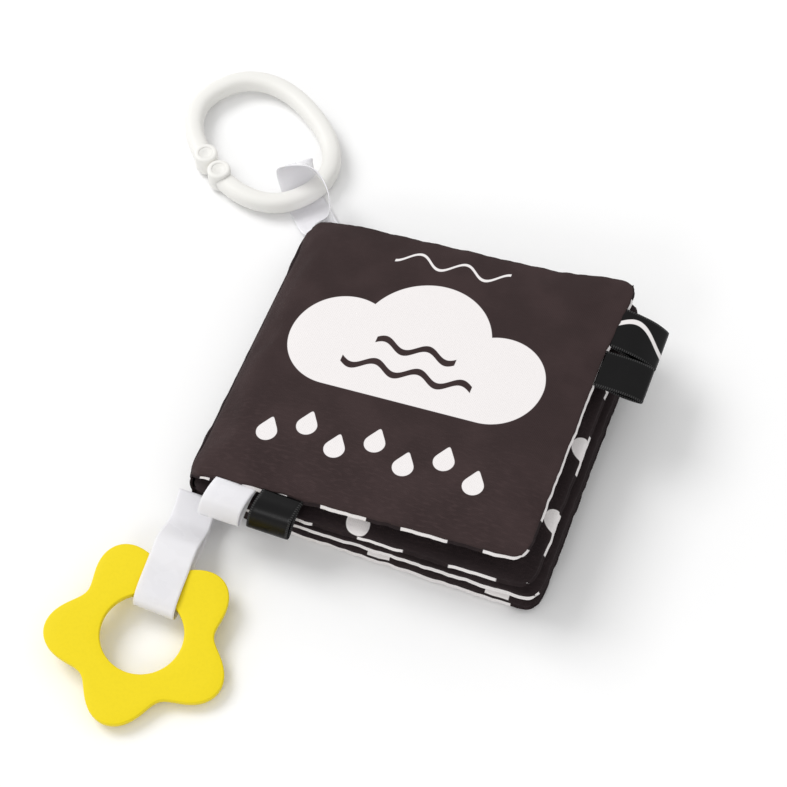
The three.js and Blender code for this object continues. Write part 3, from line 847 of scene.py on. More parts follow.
def leaf_mesh(leaf, pitch):
    """Two grids that share their outermost ring, which is the seam."""
    lines_x = grid_lines(leaf.root_x, leaf.fore_x, pitch)
    lines_y = grid_lines(leaf.foot, leaf.head, pitch)
    columns, rows = len(lines_x), len(lines_y)
    plan_x, plan_y = np.meshgrid(lines_x, lines_y, indexing="ij")
    lower, seam, upper = leaf.heights(plan_x, plan_y)
    side_distance = (leaf.head - leaf.foot) / 2 - np.abs(plan_y - leaf.shift)
    vertices = []
    flat_points = []
    index = {}

    def on_seam(i, j):
        return i in (0, columns - 1) or j in (0, rows - 1)

    for side, (heights, depth) in enumerate(((lower, LOWER_BULGE), (upper, UPPER_BULGE))):
        wide_x = plan_x + bulge(leaf.fore_x - plan_x, depth)
        wide_y = plan_y + bulge(side_distance, depth) * np.sign(plan_y - leaf.shift)
        grid_x, grid_y = rounded_page(leaf, wide_x, wide_y)
        pull_x, pull_y, pull_z = leaf.pulled(grid_x, grid_y)
        for i in range(columns):
            for j in range(rows):
                if side == 1 and on_seam(i, j):
                    index[side, i, j] = index[0, i, j]
                    continue
                index[side, i, j] = len(vertices)
                height = seam[i, j] if on_seam(i, j) else heights[i, j]
                vertices.append((
                    grid_x[i, j] + pull_x[i, j], grid_y[i, j] + pull_y[i, j], height + pull_z[i, j]))
                flat_points.append((plan_x[i, j], plan_y[i, j]))
    faces = []
    material_of = []
    for side in (0, 1):
        for i in range(columns - 1):
            for j in range(rows - 1):
                corners = [(i, j), (i + 1, j), (i + 1, j + 1), (i, j + 1)]
                if side == 0:
                    corners.reverse()
                faces.append([index[side, a, b] for a, b in corners])
                material_of.append(side)
    materials = [material(printed_cloth, *look) for look in zip(leaf.prints, leaf.grounds)]
    made = new_object(leaf.body + "_padded", vertices, faces, materials, material_of)
    write_flat_map(made, flat_points)
    seam_vertices = [index[0, i, j] for i in range(columns) for j in range(rows) if on_seam(i, j)]
    leaf.root_line = [Vector(vertices[index[0, 0, j]]) for j in range(rows)]
    return made, seam_vertices


def vertex_array(made):
    points = np.empty(len(made.data.vertices) * 3, np.float64)
    made.data.vertices.foreach_get("co", points)
    return points.reshape(-1, 3)


def write_vertices(made, points):
    made.data.vertices.foreach_set("co", points.ravel())
    made.data.update()


def seam_distance(leaf, points):
    """How far each point lies in from the leaf's open seams."""
    from_side = np.minimum(points[:, 1] - leaf.foot, leaf.head - points[:, 1])
    return np.minimum(from_side, leaf.fore_x - points[:, 0])


def swell(made, leaf, seam, swell_limit):
    """Lets the wadding press the cloths out between their pinned seams."""
    settings = book_settings()
    pins = made.vertex_groups.new(name="seam")
    pins.add(seam, 1.0, "REPLACE")
    rest = vertex_array(made)
    cloth = made.modifiers.new("cloth", "CLOTH")
    cloth.settings.quality = CLOTH_QUALITY
    cloth.settings.vertex_group_mass = "seam"
    cloth.settings.use_pressure = True
    cloth.settings.uniform_pressure_force = settings.pressure
    cloth.settings.shrink_min = -settings.slack_share
    cloth.settings.tension_stiffness = TENSION_STIFFNESS
    cloth.settings.bending_stiffness = BENDING_STIFFNESS
    cloth.settings.effector_weights.gravity = 0
    cloth.collision_settings.use_collision = False
    cloth.collision_settings.use_self_collision = False
    cloth.point_cache.frame_start = 1
    cloth.point_cache.frame_end = SWELL_FRAMES
    for number in range(1, SWELL_FRAMES + 1):
        bpy.context.scene.frame_set(number)
    graph = bpy.context.evaluated_depsgraph_get()
    swollen = made.evaluated_get(graph).data
    moved = np.array([vertex.co for vertex in swollen.vertices])
    made.modifiers.clear()
    bpy.context.scene.frame_set(1)
    offset = moved - rest
    length = np.linalg.norm(offset, axis=1, keepdims=True)
    kept = np.minimum(length, swell_limit) / np.maximum(length, TINY)
    inside = np.clip(seam_distance(leaf, rest) / CROWN_WIDTH, 0, 1)
    write_vertices(made, rest + offset * kept * inside[:, None])


def pucker(made, leaf, seed):
    """Draws small folds into the cloth that run in from its seam."""
    settings = book_settings()
    points = vertex_array(made)
    normals = np.array([vertex.normal for vertex in made.data.vertices])
    heights = []
    lifts = []
    for x, y, _ in points:
        from_side = min(y - leaf.foot, leaf.head - y)
        from_fore = leaf.fore_x - x
        along, inset = (x, from_side) if from_side < from_fore else (y + PAGE_HEIGHT, from_fore)
        nearness = max(0, min(1, 1 - inset / settings.pucker_width)) ** PUCKER_FADE
        fold = Vector((along / PUCKER_PITCH, inset / PUCKER_LENGTH, seed))
        swell_place = Vector((along / SWELL_PITCH, inset / SWELL_PITCH, seed + leaf.fore_x))
        heights.append((noise.noise(fold) + noise.noise(swell_place)) * nearness)
        lifts.append((0, 0, noise.noise(Vector((along / WAVE_PITCH, seed, leaf.fore_x))) * nearness))
    offset = np.array(heights) * settings.pucker_height
    write_vertices(made, points + normals * offset[:, None] + np.array(lifts) * settings.wave_height)


LEAVES = [
    Leaf(
        "back_cover", ("outer_cloth", "inner_cloth"), seam_share=0.34,
        root=(SPINE_LOW.x, SPINE_LOW.z + COVER_WRAP), root_crown=COVER_FOLD_WIDTH,
        prints=("foot_band", "tiles"), upper_ground="page_colour", corner_pull=NO_PULL),
    Leaf(
        "inner_back_leaf", ("lower_cloth", "upper_cloth"), seam_share=0.5,
        root=(ROOT_X, BACK_PAGE_ROOT_HEIGHT), root_crown=CROWN_WIDTH,
        prints=("foot_border", "plain"), upper_ground="page_colour", corner_pull=NO_PULL),
    Leaf(
        "inner_front_leaf", ("lower_cloth", "upper_cloth"), seam_share=0.45,
        root=(ROOT_X, FRONT_PAGE_ROOT_HEIGHT), root_crown=CROWN_WIDTH,
        prints=("checks", "small_dots"), upper_ground="page_colour", corner_pull=PAGE_PULL),
    Leaf(
        "front_cover", ("inner_cloth", "outer_cloth"), seam_share=0.6,
        root=(SPINE_LOW.x, SPINE_HIGH.z - COVER_WRAP), root_crown=COVER_FOLD_WIDTH,
        prints=("large_dots", "cover"), upper_ground="cover_colour", corner_pull=COVER_PULL),
]


class BOOK_OT_leaves(bpy.types.Operator):
    """Makes the four padded leaves with their prints"""

    bl_idname = "cloth_book.leaves"
    bl_label = "Padded leaves"

    def execute(self, context):
        for number, leaf in enumerate(LEAVES):
            made, seam = leaf_mesh(leaf, book_settings().grid_pitch)
            limit = COVER_SWELL_LIMIT if leaf.body == "front_cover" else HIDDEN_SWELL_LIMIT
            swell(made, leaf, seam, limit)
            subdivide(made, 1)
            pucker(made, leaf, number)
            self.hang(made, leaf)
            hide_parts(*leaf.nodes)
        return {"FINISHED"}

    def hang(self, made, leaf):
        """An inner leaf rides on its body; a cover's cloth is baked in place and not attached to any body.
        """
        if not leaf.body.endswith("cover"):
            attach(made, leaf.body)
            return
        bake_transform(made)


# Ribbons


def smooth_path(points, steps):
    """Points at even distances along a centripetal Catmull-Rom curve."""
    given = [Vector(point) for point in points]
    ends = [2 * given[0] - given[1], *given, 2 * given[-1] - given[-2]]
    dense = []
    for a, b, c, d in zip(ends, ends[1:], ends[2:], ends[3:]):
        t0 = 0.0
        t1 = t0 + math.sqrt((b - a).length)
        t2 = t1 + math.sqrt((c - b).length)
        t3 = t2 + math.sqrt((d - c).length)
        for step in range(PATH_SAMPLES):
            t = t1 + (t2 - t1) * step / PATH_SAMPLES
            first = a.lerp(b, (t - t0) / (t1 - t0))
            second = b.lerp(c, (t - t1) / (t2 - t1))
            third = c.lerp(d, (t - t2) / (t3 - t2))
            early = first.lerp(second, (t - t0) / (t2 - t0))
            late = second.lerp(third, (t - t1) / (t3 - t1))
            dense.append(early.lerp(late, (t - t1) / (t2 - t1)))
    dense.append(given[-1])
    return even_points(dense, steps)


def ribbon(name, points, across_at, width, steps, colour, wave_width=0.0):
    """A satin ribbon along a path. across_at gives the direction of its width at a share of the way."""
    centres, length = smooth_path(points, steps)
    tangents = np.gradient(centres, axis=0)
    half = book_settings().ribbon_thickness / 2
    rings = []
    flat_points = []
    for step, centre in enumerate(centres):
        share = step / steps
        tangent = Vector(tangents[step]).normalized()
        across = Vector(across_at(share)).normalized()
        outwards = tangent.cross(across).normalized()
        ring = []
        for side in (1, -1):
            for column in range(RIBBON_COLUMNS + 1):
                place = (column / RIBBON_COLUMNS - 0.5) * side
                thin = half * (RIBBON_EDGE_SHARE if column in (0, RIBBON_COLUMNS) else 1)
                ring.append(Vector(centre) + across * (place * width) + outwards * (side * thin))
                flat_points.append((place * width, share * length))
        rings.append(ring)
    vertices = [point for ring in rings for point in ring]
    faces = swept_faces(len(rings), len(rings[0]))
    made = new_object(name, vertices, faces, [material(satin, colour, wave_width)])
    write_flat_map(made, flat_points)
    outward(made)
    return made, length


def turning(turns):
    """Gives the width's direction at a share of the way, easing from each listed one to the next."""
    def across(share):
        for (start, first), (end, second) in zip(turns, turns[1:]):
            if share <= end:
                eased = (share - start) / (end - start)
                eased = eased * eased * (3 - 2 * eased)
                return Vector(first).lerp(Vector(second), eased)
        return Vector(turns[-1][1])
    return across


def find_leaf(body):
    return next(leaf for leaf in LEAVES if leaf.body == body)


def seam_height(leaf, x, y):
    return float(leaf.heights(np.array(x), np.array(y))[1])


def ring_point(angle):
    """A point of the ring's centre line, a rounded oval, at an angle round it."""
    bend = 2 / RING_ROUNDNESS
    cos, sin = math.cos(angle), math.sin(angle)
    flat = Vector((
        (RING_LENGTH - RING_BAR) / 2 * math.copysign(abs(cos) ** bend, cos),
        (RING_WIDTH - RING_BAR) / 2 * math.copysign(abs(sin) ** bend, sin),
        RING_LIFT + RING_BAR / 2,
    ))
    return Matrix.Rotation(RING_TURN, 3, "Z") @ flat + Vector((*RING_CENTRE, 0))


# Directions of a ribbon's width: along its seam, and where the layer that returns stands on its edge
SEWN = (1, 0, 0)
STANDING = (-0.2, 0.49, -0.85)
RING_RIBBON_TURN_SHARES = (0, 0.25, 0.47, 0.66, 0.84, 1)
TEETHER_RIBBON_TURN_SHARES = (0, 1 / 3, 2 / 3, 1)
RING_RIBBON_RETURN = [
    (-78.5 * MM, 87 * MM, 12.5 * MM),
    (-72.5 * MM, 85 * MM, 15.5 * MM),
    (-65.6 * MM, 81 * MM, 16.8 * MM),
    (-60.2 * MM, 75.5 * MM, 15.6 * MM),
    (-57 * MM, 69 * MM, 13 * MM),
    (-53.5 * MM, 62 * MM, 11.2 * MM),
]


def ring_ribbon_route():
    """The points of the ring's ribbon and the turns of its width."""
    leaf = find_leaf("inner_back_leaf")
    root_x = SPINE_X + PAGE_WIDTH * RING_RIBBON_PLACE_SHARE
    root = Vector((root_x, leaf.head + SEAT_GAP, seam_height(leaf, root_x, leaf.head)))
    bar = ring_point(RIBBON_CROSSING)
    out = Vector((bar.x - root.x, bar.y - root.y, 0))
    length = out.length + RING_BAR / 2 + RING_RIBBON_SLACK
    out.normalize()
    low = root.z - LAYER_SPACING / 2
    under_bar = RING_LIFT - LAYER_SPACING

    def at(share, height):
        point = root + out * (length * share)
        point.z = height
        return point

    points = [at(0, low)]
    points += [at(share, low + (under_bar - low) * fall) for share, fall in RING_RIBBON_FALL_SHARES]
    points += [at(1, RING_LIFT + RING_BAR)]
    points += [Vector(point) for point in RING_RIBBON_RETURN]
    points += [at(0, root.z + LAYER_SPACING / 2)]
    beside = Vector((out.y, -out.x, 0))
    widths = [SEWN, beside, beside, STANDING, STANDING, SEWN]
    return points, list(zip(RING_RIBBON_TURN_SHARES, widths))


def teether_radius(angle):
    wave = TEETHER_LOBES * (angle - TEETHER_FIRST_LOBE)
    return (
        TEETHER_MEAN_RADIUS
        + TEETHER_LOBE_HEIGHT * math.cos(wave)
        + TEETHER_LOBE_SHARPNESS * math.cos(2 * wave)
    )


def teether_height():
    """Height of the teether's middle, with its lowest point on the ground."""
    falls = []
    for step in range(TEETHER_STEPS):
        angle = 2 * math.pi * step / TEETHER_STEPS
        radius = teether_radius(angle) - TEETHER_EDGE_ROUND
        falls.append(TEETHER_RISE_SHARE * radius * (math.cos(angle) - math.sin(angle)))
    return TEETHER_THICKNESS / 2 + max(falls) + SEAT_GAP


def teether_ribbon_route():
    """The points of the teether's ribbon and the turns of its width."""
    leaf = find_leaf("inner_back_leaf")
    root_x = SPINE_X + PAGE_WIDTH * TEETHER_RIBBON_PLACE_SHARE
    root = Vector((root_x, leaf.foot - SEAT_GAP, seam_height(leaf, root_x, leaf.foot)))
    hole_edge = TEETHER_CENTRE[1] + math.sqrt(TEETHER_HOLE_RADIUS ** 2 - (RIBBON_WIDTH / 2) ** 2)
    lobe_edge = TEETHER_CENTRE[1] + TEETHER_MEAN_RADIUS
    closing_y = lobe_edge + TEETHER_RIBBON_SPREAD
    lying_y = lobe_edge - TEETHER_RIBBON_SPREAD
    rim = TEETHER_THICKNESS / 2 + LAYER_SPACING
    middle = teether_height()

    def plate(y):
        return middle + TEETHER_RISE_SHARE * (y - TEETHER_CENTRE[1])

    def at(y, height):
        share = (y - root.y) / (hole_edge - root.y)
        return Vector((root.x + (TEETHER_CENTRE[0] - root.x) * share, y, height))

    def layer(side):
        return [
            at(root.y, root.z + side * LAYER_SPACING / 2),
            at((root.y + closing_y) / 2, root.z - TEETHER_RIBBON_SAG + side * LAYER_SPACING),
            at(closing_y, plate(lobe_edge) + side * rim),
            at(lying_y, plate(lying_y) + side * rim),
            at(hole_edge, plate(hole_edge) + side * rim),
        ]

    points = [*layer(-1), at(hole_edge - rim, plate(hole_edge)), *reversed(layer(1))]
    lying = (1, 0, -TEETHER_RISE_SHARE)
    return points, list(zip(TEETHER_RIBBON_TURN_SHARES, [SEWN, lying, lying, SEWN]))


class BOOK_OT_ribbons(bpy.types.Operator):
    """Makes the two ribbon loops that hold the ring and the teether"""

    bl_idname = "cloth_book.ribbons"
    bl_label = "Ribbon loops"

    def execute(self, context):
        self.hang("ring_ribbon", *ring_ribbon_route())
        self.hang("teether_ribbon", *teether_ribbon_route())
        return {"FINISHED"}

    def hang(self, body, points, turns):
        made, length = ribbon(
            body + "_satin", points, turning(turns), RIBBON_WIDTH, LOOP_STEPS, "satin_white")
        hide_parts(body)
        out = (points[3] - points[0]).normalized() * BEND_LENGTH
        points[0] + out
        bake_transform(made)


class Tag:
    """A folded ribbon sewn into the front cover's seam. Its reach and drop are in ribbon widths."""

    def __init__(self, body, colour, shares, reach_share, drop_share, lean_share, wave_width=0.0):
        self.body = body
        self.shares = shares
        self.reach = RIBBON_WIDTH * reach_share
        self.drop = RIBBON_WIDTH * drop_share
        self.lean_share = lean_share
        self.colour = colour
        self.wave_width = wave_width
        self.width = WIDE_RIBBON_WIDTH if wave_width else RIBBON_WIDTH


FOOT_TAGS = [
    Tag(
        "white_foot_tag", "satin_white", FOOT_TAG_SHARES,
        reach_share=0.73, drop_share=0.62, lean_share=-0.27),
    Tag(
        "black_foot_tag", "satin_black", FOOT_TAG_SHARES,
        reach_share=0.7, drop_share=0.68, lean_share=-0.22),
]
SIDE_TAGS = [
    Tag(
        "plain_side_tag", "satin_black", SIDE_TAG_SHARES,
        reach_share=1.167, drop_share=0.3, lean_share=0.09),
    Tag(
        "wave_side_tag", "satin_black", SIDE_TAG_SHARES,
        reach_share=1.167, drop_share=0.467, lean_share=0, wave_width=WAVE_LINE_WIDTH),
]
FOOT_TAGS_PLACE_SHARE = 0.112
SIDE_TAGS_PLACE_SHARE = 0.635
TAG_GAP = 2.4 * MM
TAG_SINK = 0.5 * MM


class BOOK_OT_tags(bpy.types.Operator):
    """Makes the four folded tags"""

    bl_idname = "cloth_book.tags"
    bl_label = "Tags"

    def execute(self, context):
        leaf = find_leaf("front_cover")
        place = SPINE_X + PAGE_WIDTH * FOOT_TAGS_PLACE_SHARE
        for tag in FOOT_TAGS:
            root = Vector((place + tag.width / 2, leaf.foot - SEAT_GAP, 0))
            self.sew(tag, leaf, root, Vector((0, -1, 0)), Vector((1, 0, 0)))
            place += tag.width + TAG_GAP
        place = PAGE_HEIGHT * (SIDE_TAGS_PLACE_SHARE - 1 / 2)
        for tag in SIDE_TAGS:
            root = Vector((leaf.fore_x + SEAT_GAP, place + tag.width / 2, 0))
            self.sew(tag, leaf, root, Vector((1, 0, 0)), Vector((0, 1, 0)))
            place += tag.width + TAG_GAP
        return {"FINISHED"}

    def sew(self, tag, leaf, root, out, side):
        root.z = seam_height(leaf, root.x, root.y) - TAG_SINK
        way = out + side * tag.lean_share

        def point(along, down):
            return root + way * along - Vector((0, 0, down))

        points = [point(0, -LAYER_SPACING / 2)]
        points += [point(tag.reach * along, tag.drop * down) for along, down in tag.shares]
        points += [point(0, LAYER_SPACING / 2)]
        made, length = ribbon(
            tag.body + "_satin", points, lambda share: side, tag.width, TAG_STEPS, tag.colour,
            tag.wave_width)
        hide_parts(tag.body)
        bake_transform(made)


# Spine

SPINE_FOLD_THICKNESS = 0.6 * MM
SPINE_BOW = 0.8 * MM
SPINE_TUCK = 0.3 * MM
SPINE_OVERLAP = 0.6 * MM
SPINE_STEPS = 12


def spine_band(name, upper_line, lower_line, ground):
    """A strip of cloth that closes the spine between two root seams, and runs on behind each of them."""
    rings = []
    for upper, lower in zip(upper_line, lower_line):
        over = (upper - lower).normalized() * SPINE_OVERLAP
        outer = []
        inner = []
        for step in range(SPINE_STEPS + 1):
            share = step / SPINE_STEPS
            bow = SPINE_BOW * math.sin(math.pi * share) - SPINE_TUCK
            point = (upper + over).lerp(lower - over, share)
            outer.append(point - Vector((bow, 0, 0)))
            inner.append(point + Vector((SPINE_FOLD_THICKNESS - bow, 0, 0)))
        rings.append(outer + inner[::-1])
    vertices = [point for ring in rings for point in ring]
    faces = swept_faces(len(rings), len(rings[0]))
    made = new_object(name, vertices, faces, [material(printed_cloth, "plain", ground)])
    write_flat_map(made, [(point.x + point.z, point.y) for point in vertices])
    outward(made)
    return made


class BOOK_OT_spine(bpy.types.Operator):
    """Makes the bands of cloth folded round the spine"""

    bl_idname = "cloth_book.spine"
    bl_label = "Spine"

    def execute(self, context):
        back, inner_back, inner_front, front = LEAVES
        self.sew("outer_spine", front, back, "cover_colour", "outer_spine_fold")
        self.sew("inner_spine", inner_front, inner_back, "page_colour", "inner_spine_fold")
        return {"FINISHED"}

    def sew(self, name, upper, lower, ground, node):
        made = spine_band(name, upper.root_line, lower.root_line, ground)
        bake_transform(made)
        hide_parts(node)


# Ring

RING_STEPS = 220
RING_SIDES = 28
BOSS_SIDES = 48
DIMPLE_RADIUS = 2.7 * MM
DIMPLE_DEPTH = 1 * MM
BOSS_ROUND = 0.9 * MM
RING_SQUARENESS = 2.5
RIM_STEPS = 5
TOP_RIM_STEPS = 6
DIMPLE_SHARES = (0.9, 0.6, 0.3, 0)
DIMPLE_FLATNESS = 4


def ring_line():
    """Even points along the bar's centre line, from one clasp boss to the other."""
    around = [ring_point(CLASP_PLACE + 2 * math.pi * step / RING_STEPS) for step in range(RING_STEPS)]
    around.append(around[0])
    return even_points(around, RING_STEPS, (CLASP_DIAMETER + CLASP_GAP) / 2)[0]


def ring_bar(line):
    """Vertices and faces of a softly squared round section swept along the line."""
    tangents = np.gradient(line, axis=0)
    vertices = []
    for centre, tangent in zip(line, tangents):
        side = Vector((tangent[1], -tangent[0], 0)).normalized()
        for step in range(RING_SIDES):
            angle = 2 * math.pi * step / RING_SIDES
            cos, sin = math.cos(angle), math.sin(angle)
            bend = 2 / RING_SQUARENESS
            across = math.copysign(abs(cos) ** bend, cos) * RING_BAR / 2
            up = math.copysign(abs(sin) ** bend, sin) * RING_BAR / 2
            vertices.append(Vector(centre) + side * across + Vector((0, 0, up)))
    return vertices, swept_faces(len(line), RING_SIDES)


def boss_profile():
    """Outline of a clasp boss, as distances from its axis and heights."""
    radius = CLASP_DIAMETER / 2
    top = CLASP_HEIGHT
    rim = BOSS_ROUND
    profile = [(0, 0), (DIMPLE_RADIUS, 0)]
    profile += arc((radius - rim, rim), rim, -math.pi / 2, 0, RIM_STEPS)
    profile += arc((radius - rim, top - rim), rim, 0, math.pi / 2, TOP_RIM_STEPS)
    inner = (radius - rim - DIMPLE_RADIUS) / 2
    profile += arc((DIMPLE_RADIUS + inner, top - inner), inner, math.pi / 2, math.pi, RIM_STEPS)
    for share in DIMPLE_SHARES:
        profile.append((DIMPLE_RADIUS * share, top - DIMPLE_DEPTH * (1 - share ** DIMPLE_FLATNESS)))
    return profile


def lathe(profile, centre, sides):
    """Turns a profile round an upright axis. It starts and ends on the axis."""
    vertices = [Vector((centre.x, centre.y, centre.z + profile[0][1]))]
    for radius, height in profile[1:-1]:
        for step in range(sides):
            angle = 2 * math.pi * step / sides
            vertices.append(centre + Vector((radius * math.cos(angle), radius * math.sin(angle), height)))
    vertices.append(Vector((centre.x, centre.y, centre.z + profile[-1][1])))
    rings = len(profile) - 2
    faces = []
    for step in range(sides):
        after = (step + 1) % sides
        faces.append([0, 1 + after, 1 + step])
        for ring in range(rings - 1):
            low = 1 + ring * sides
            faces.append([low + step, low + after, low + sides + after, low + sides + step])
        top = 1 + (rings - 1) * sides
        faces.append([top + step, top + after, len(vertices) - 1])
    return vertices, faces


def joined(parts):
    """Puts several (vertices, faces) lists into one."""
    vertices = []
    faces = []
    for more_vertices, more_faces in parts:
        base = len(vertices)
        vertices += more_vertices
        faces += [[base + corner for corner in face] for face in more_faces]
    return vertices, faces


class BOOK_OT_ring(bpy.types.Operator):
    """Makes the clip ring with its clasp"""

    bl_idname = "cloth_book.ring"
    bl_label = "Clip ring"

    def execute(self, context):
        line = ring_line()
        parts = [ring_bar(line)]
        for end in (line[0], line[-1]):
            parts.append(lathe(boss_profile(), Vector((end[0], end[1], RING_LIFT)), BOSS_SIDES))
        made = new_object("clip_ring", *joined(parts), [material(ring_plastic)])
        outward(made)
        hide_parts("ring")
        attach(made, "ring")
        return {"FINISHED"}


# Teether


class BOOK_OT_teether(bpy.types.Operator):
    """Makes the star teether"""

    bl_idname = "cloth_book.teether"
    bl_label = "Star teether"

    def execute(self, context):
        vertices, faces = self.plate()
        made = new_object("star_teether", vertices, faces, [material(teether_rubber)])
        outward(made)
        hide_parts("teether")
        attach(made, "teether")
        return {"FINISHED"}

    def plate(self):
        """Vertices and faces of the lobed plate, tilted as it lies on the ground."""
        normal = Vector((TEETHER_RISE_SHARE, -TEETHER_RISE_SHARE, 1)).normalized()
        tilt = Vector((0, 0, 1)).rotation_difference(normal)
        middle = Vector((*TEETHER_CENTRE, teether_height()))
        upper, lower = TEETHER_UPPER_ROUND, TEETHER_LOWER_ROUND
        quarter = math.pi / 2
        half = TEETHER_THICKNESS / 2
        vertices = []
        for step in range(TEETHER_STEPS):
            angle = 2 * math.pi * step / TEETHER_STEPS
            outer = teether_radius(angle)
            inner = TEETHER_HOLE_RADIUS
            flat = [outer + (inner - outer) * share for share in TEETHER_FLAT_SHARES]
            section = arc((outer - upper, half - upper), upper, 0, quarter, UPPER_ROUND_STEPS)
            section += [(radius, half) for radius in flat]
            section += arc((inner + upper, half - upper), upper, quarter, 2 * quarter, UPPER_ROUND_STEPS)
            section += arc(
                (inner + lower, lower - half), lower, 2 * quarter, 3 * quarter, LOWER_ROUND_STEPS)
            section += [(radius, -half) for radius in reversed(flat)]
            section += arc(
                (outer - lower, lower - half), lower, 3 * quarter, 4 * quarter, LOWER_ROUND_STEPS)
            for radius, height in section:
                point = Vector((radius * math.cos(angle), radius * math.sin(angle), height))
                vertices.append(middle + tilt @ point)
        return vertices, swept_faces(TEETHER_STEPS, len(section), closed=True)


# Stitches

STITCH_LENGTH = 1.6 * MM
STITCH_THICKNESS = 0.22 * MM
STITCH_INSET = 0.45 * MM
STITCH_SWAY = (0.12, 0.12, 0.12)
STITCH_SEED = 4
STITCH_SIDES = 8
STITCH_RINGS = 6
STITCH_INPUTS = {
    "Geometry": "NodeSocketGeometry",
    "Pitch": "NodeSocketFloat",
    "Length": "NodeSocketFloat",
    "Thickness": "NodeSocketFloat",
    "Material": "NodeSocketMaterial",
}
EDGE_STEPS = 40
CORNER_STEPS = 7


def stitch_group():
    """Geometry nodes that lay stitches at even distances along a curve."""
    group = bpy.data.node_groups.new("stitch_row", "GeometryNodeTree")
    group.is_modifier = True
    for name, kind in STITCH_INPUTS.items():
        group.interface.new_socket(name, in_out="INPUT", socket_type=kind)
    group.interface.new_socket("Geometry", in_out="OUTPUT", socket_type="NodeSocketGeometry")
    tree = Tree(group)
    given = {name: tree.make("NodeGroupInput", output=name) for name in STITCH_INPUTS}
    spaced = tree.make(
        "GeometryNodeResampleCurve", {"mode": "LENGTH"},
        {"Curve": given["Geometry"], "Length": given["Pitch"]})
    points = tree.make("GeometryNodeCurveToPoints", {"mode": "EVALUATED"}, {"Curve": spaced})
    ways = Value(tree, points.socket.node.outputs["Rotation"])
    bead = tree.make(
        "GeometryNodeMeshUVSphere",
        sockets={"Segments": STITCH_SIDES, "Rings": STITCH_RINGS, "Radius": 1 / 2})
    size = tree.make(
        "ShaderNodeCombineXYZ",
        sockets={"X": given["Thickness"], "Y": given["Thickness"], "Z": given["Length"]})
    stitch = tree.make("GeometryNodeTransform", sockets={"Geometry": bead, "Scale": size})
    stitches = tree.make(
        "GeometryNodeInstanceOnPoints", sockets={"Points": points, "Instance": stitch, "Rotation": ways})
    sway = tree.make(
        "FunctionNodeRandomValue", {"data_type": "FLOAT_VECTOR"},
        {0: tuple(-turn for turn in STITCH_SWAY), 1: STITCH_SWAY, "Seed": STITCH_SEED})
    swayed = tree.make("GeometryNodeRotateInstances", sockets={"Instances": stitches, "Rotation": sway})
    real = tree.make("GeometryNodeRealizeInstances", sockets={"Geometry": swayed})
    smooth = tree.make("GeometryNodeSetShadeSmooth", sockets={"Geometry": real})
    painted = tree.make(
        "GeometryNodeSetMaterial", sockets={"Geometry": smooth, "Material": given["Material"]})
    tree.make("NodeGroupOutput", sockets={"Geometry": painted})
    return group


def stitched_line(name, points, body):
    """A row of stitches along points, as a plain mesh on that body."""
    settings = book_settings()
    curve = bpy.data.curves.new(name + "_line", "CURVE")
    curve.dimensions = "3D"
    spline = curve.splines.new("POLY")
    spline.points.add(len(points) - 1)
    for point, place in zip(spline.points, points):
        point.co = (*place, 1)
    line = bpy.data.objects.new(name + "_line", curve)
    bpy.context.scene.collection.objects.link(line)
    modifier = line.modifiers.new("stitches", "NODES")
    modifier.node_group = bpy.data.node_groups.get("stitch_row") or stitch_group()
    values = {
        "Pitch": settings.stitch_pitch, "Length": STITCH_LENGTH, "Thickness": STITCH_THICKNESS,
        "Material": material(thread),
    }
    for item in modifier.node_group.interface.items_tree:
        if item.name in values:
            modifier[item.identifier] = values[item.name]
    graph = bpy.context.evaluated_depsgraph_get()
    mesh = bpy.data.meshes.new_from_object(line.evaluated_get(graph), depsgraph=graph)
    bpy.data.objects.remove(line)
    made = bpy.data.objects.new(name, mesh)
    bpy.context.scene.collection.objects.link(made)
    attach(made, body)
    return made


def straight(start, end):
    """Points at even distances from a start to just before an end."""
    steps = np.linspace(0, 1, EDGE_STEPS, endpoint=False)
    return [tuple(Vector(start).lerp(Vector(end), step)) for step in steps]


class BOOK_OT_stitches(bpy.types.Operator):
    """Sews the leaves' open edges"""

    bl_idname = "cloth_book.stitches"
    bl_label = "Stitches"

    def execute(self, context):
        for leaf in LEAVES:
            points = self.edge(leaf)
            stitched_line(leaf.body + "_stitches", points, leaf.body)
        return {"FINISHED"}

    def edge(self, leaf):
        """The leaf's edge from the spine along the foot, up the open side and back along the head."""
        radius = PAGE_CORNER_RADIUS
        foot, head = leaf.foot + STITCH_INSET, leaf.head - STITCH_INSET
        fore = leaf.fore_x - STITCH_INSET
        root, turn = ROOT_X + radius, fore - radius
        outline = straight((root, foot), (turn, foot))
        outline += arc((turn, foot + radius), radius, -math.pi / 2, 0, CORNER_STEPS)[:-1]
        outline += straight((fore, foot + radius), (fore, head - radius))
        outline += arc((turn, head - radius), radius, 0, math.pi / 2, CORNER_STEPS)[:-1]
        outline += [*straight((turn, head), (root, head)), (root, head)]
        places = [Vector((x, y, seam_height(leaf, x, y))) for x, y in outline]
        return [place + Vector(leaf.pulled(place.x, place.y)) for place in places]


# Stage

FLOOR_BOUNCE_COLOUR = (0.87, 0.87, 0.87)
FLOOR_SEEN_COLOUR = (1.0, 1.0, 1.0)


def floor_paint(tree):
    """White to the camera and in reflections, a little darker in the light that it throws back."""
    path = tree.make("ShaderNodeLightPath", output="Is Camera Ray")
    glossy = Value(tree, path.socket.node.outputs["Is Glossy Ray"])
    clear = Value(tree, path.socket.node.outputs["Is Transmission Ray"])
    seen = path.max(glossy).max(clear)
    colour = tree.mix(seen, FLOOR_BOUNCE_COLOUR, FLOOR_SEEN_COLOUR)
    tree.surface({"Base Color": colour, "Roughness": 1.0, "Specular IOR Level": 0.0})


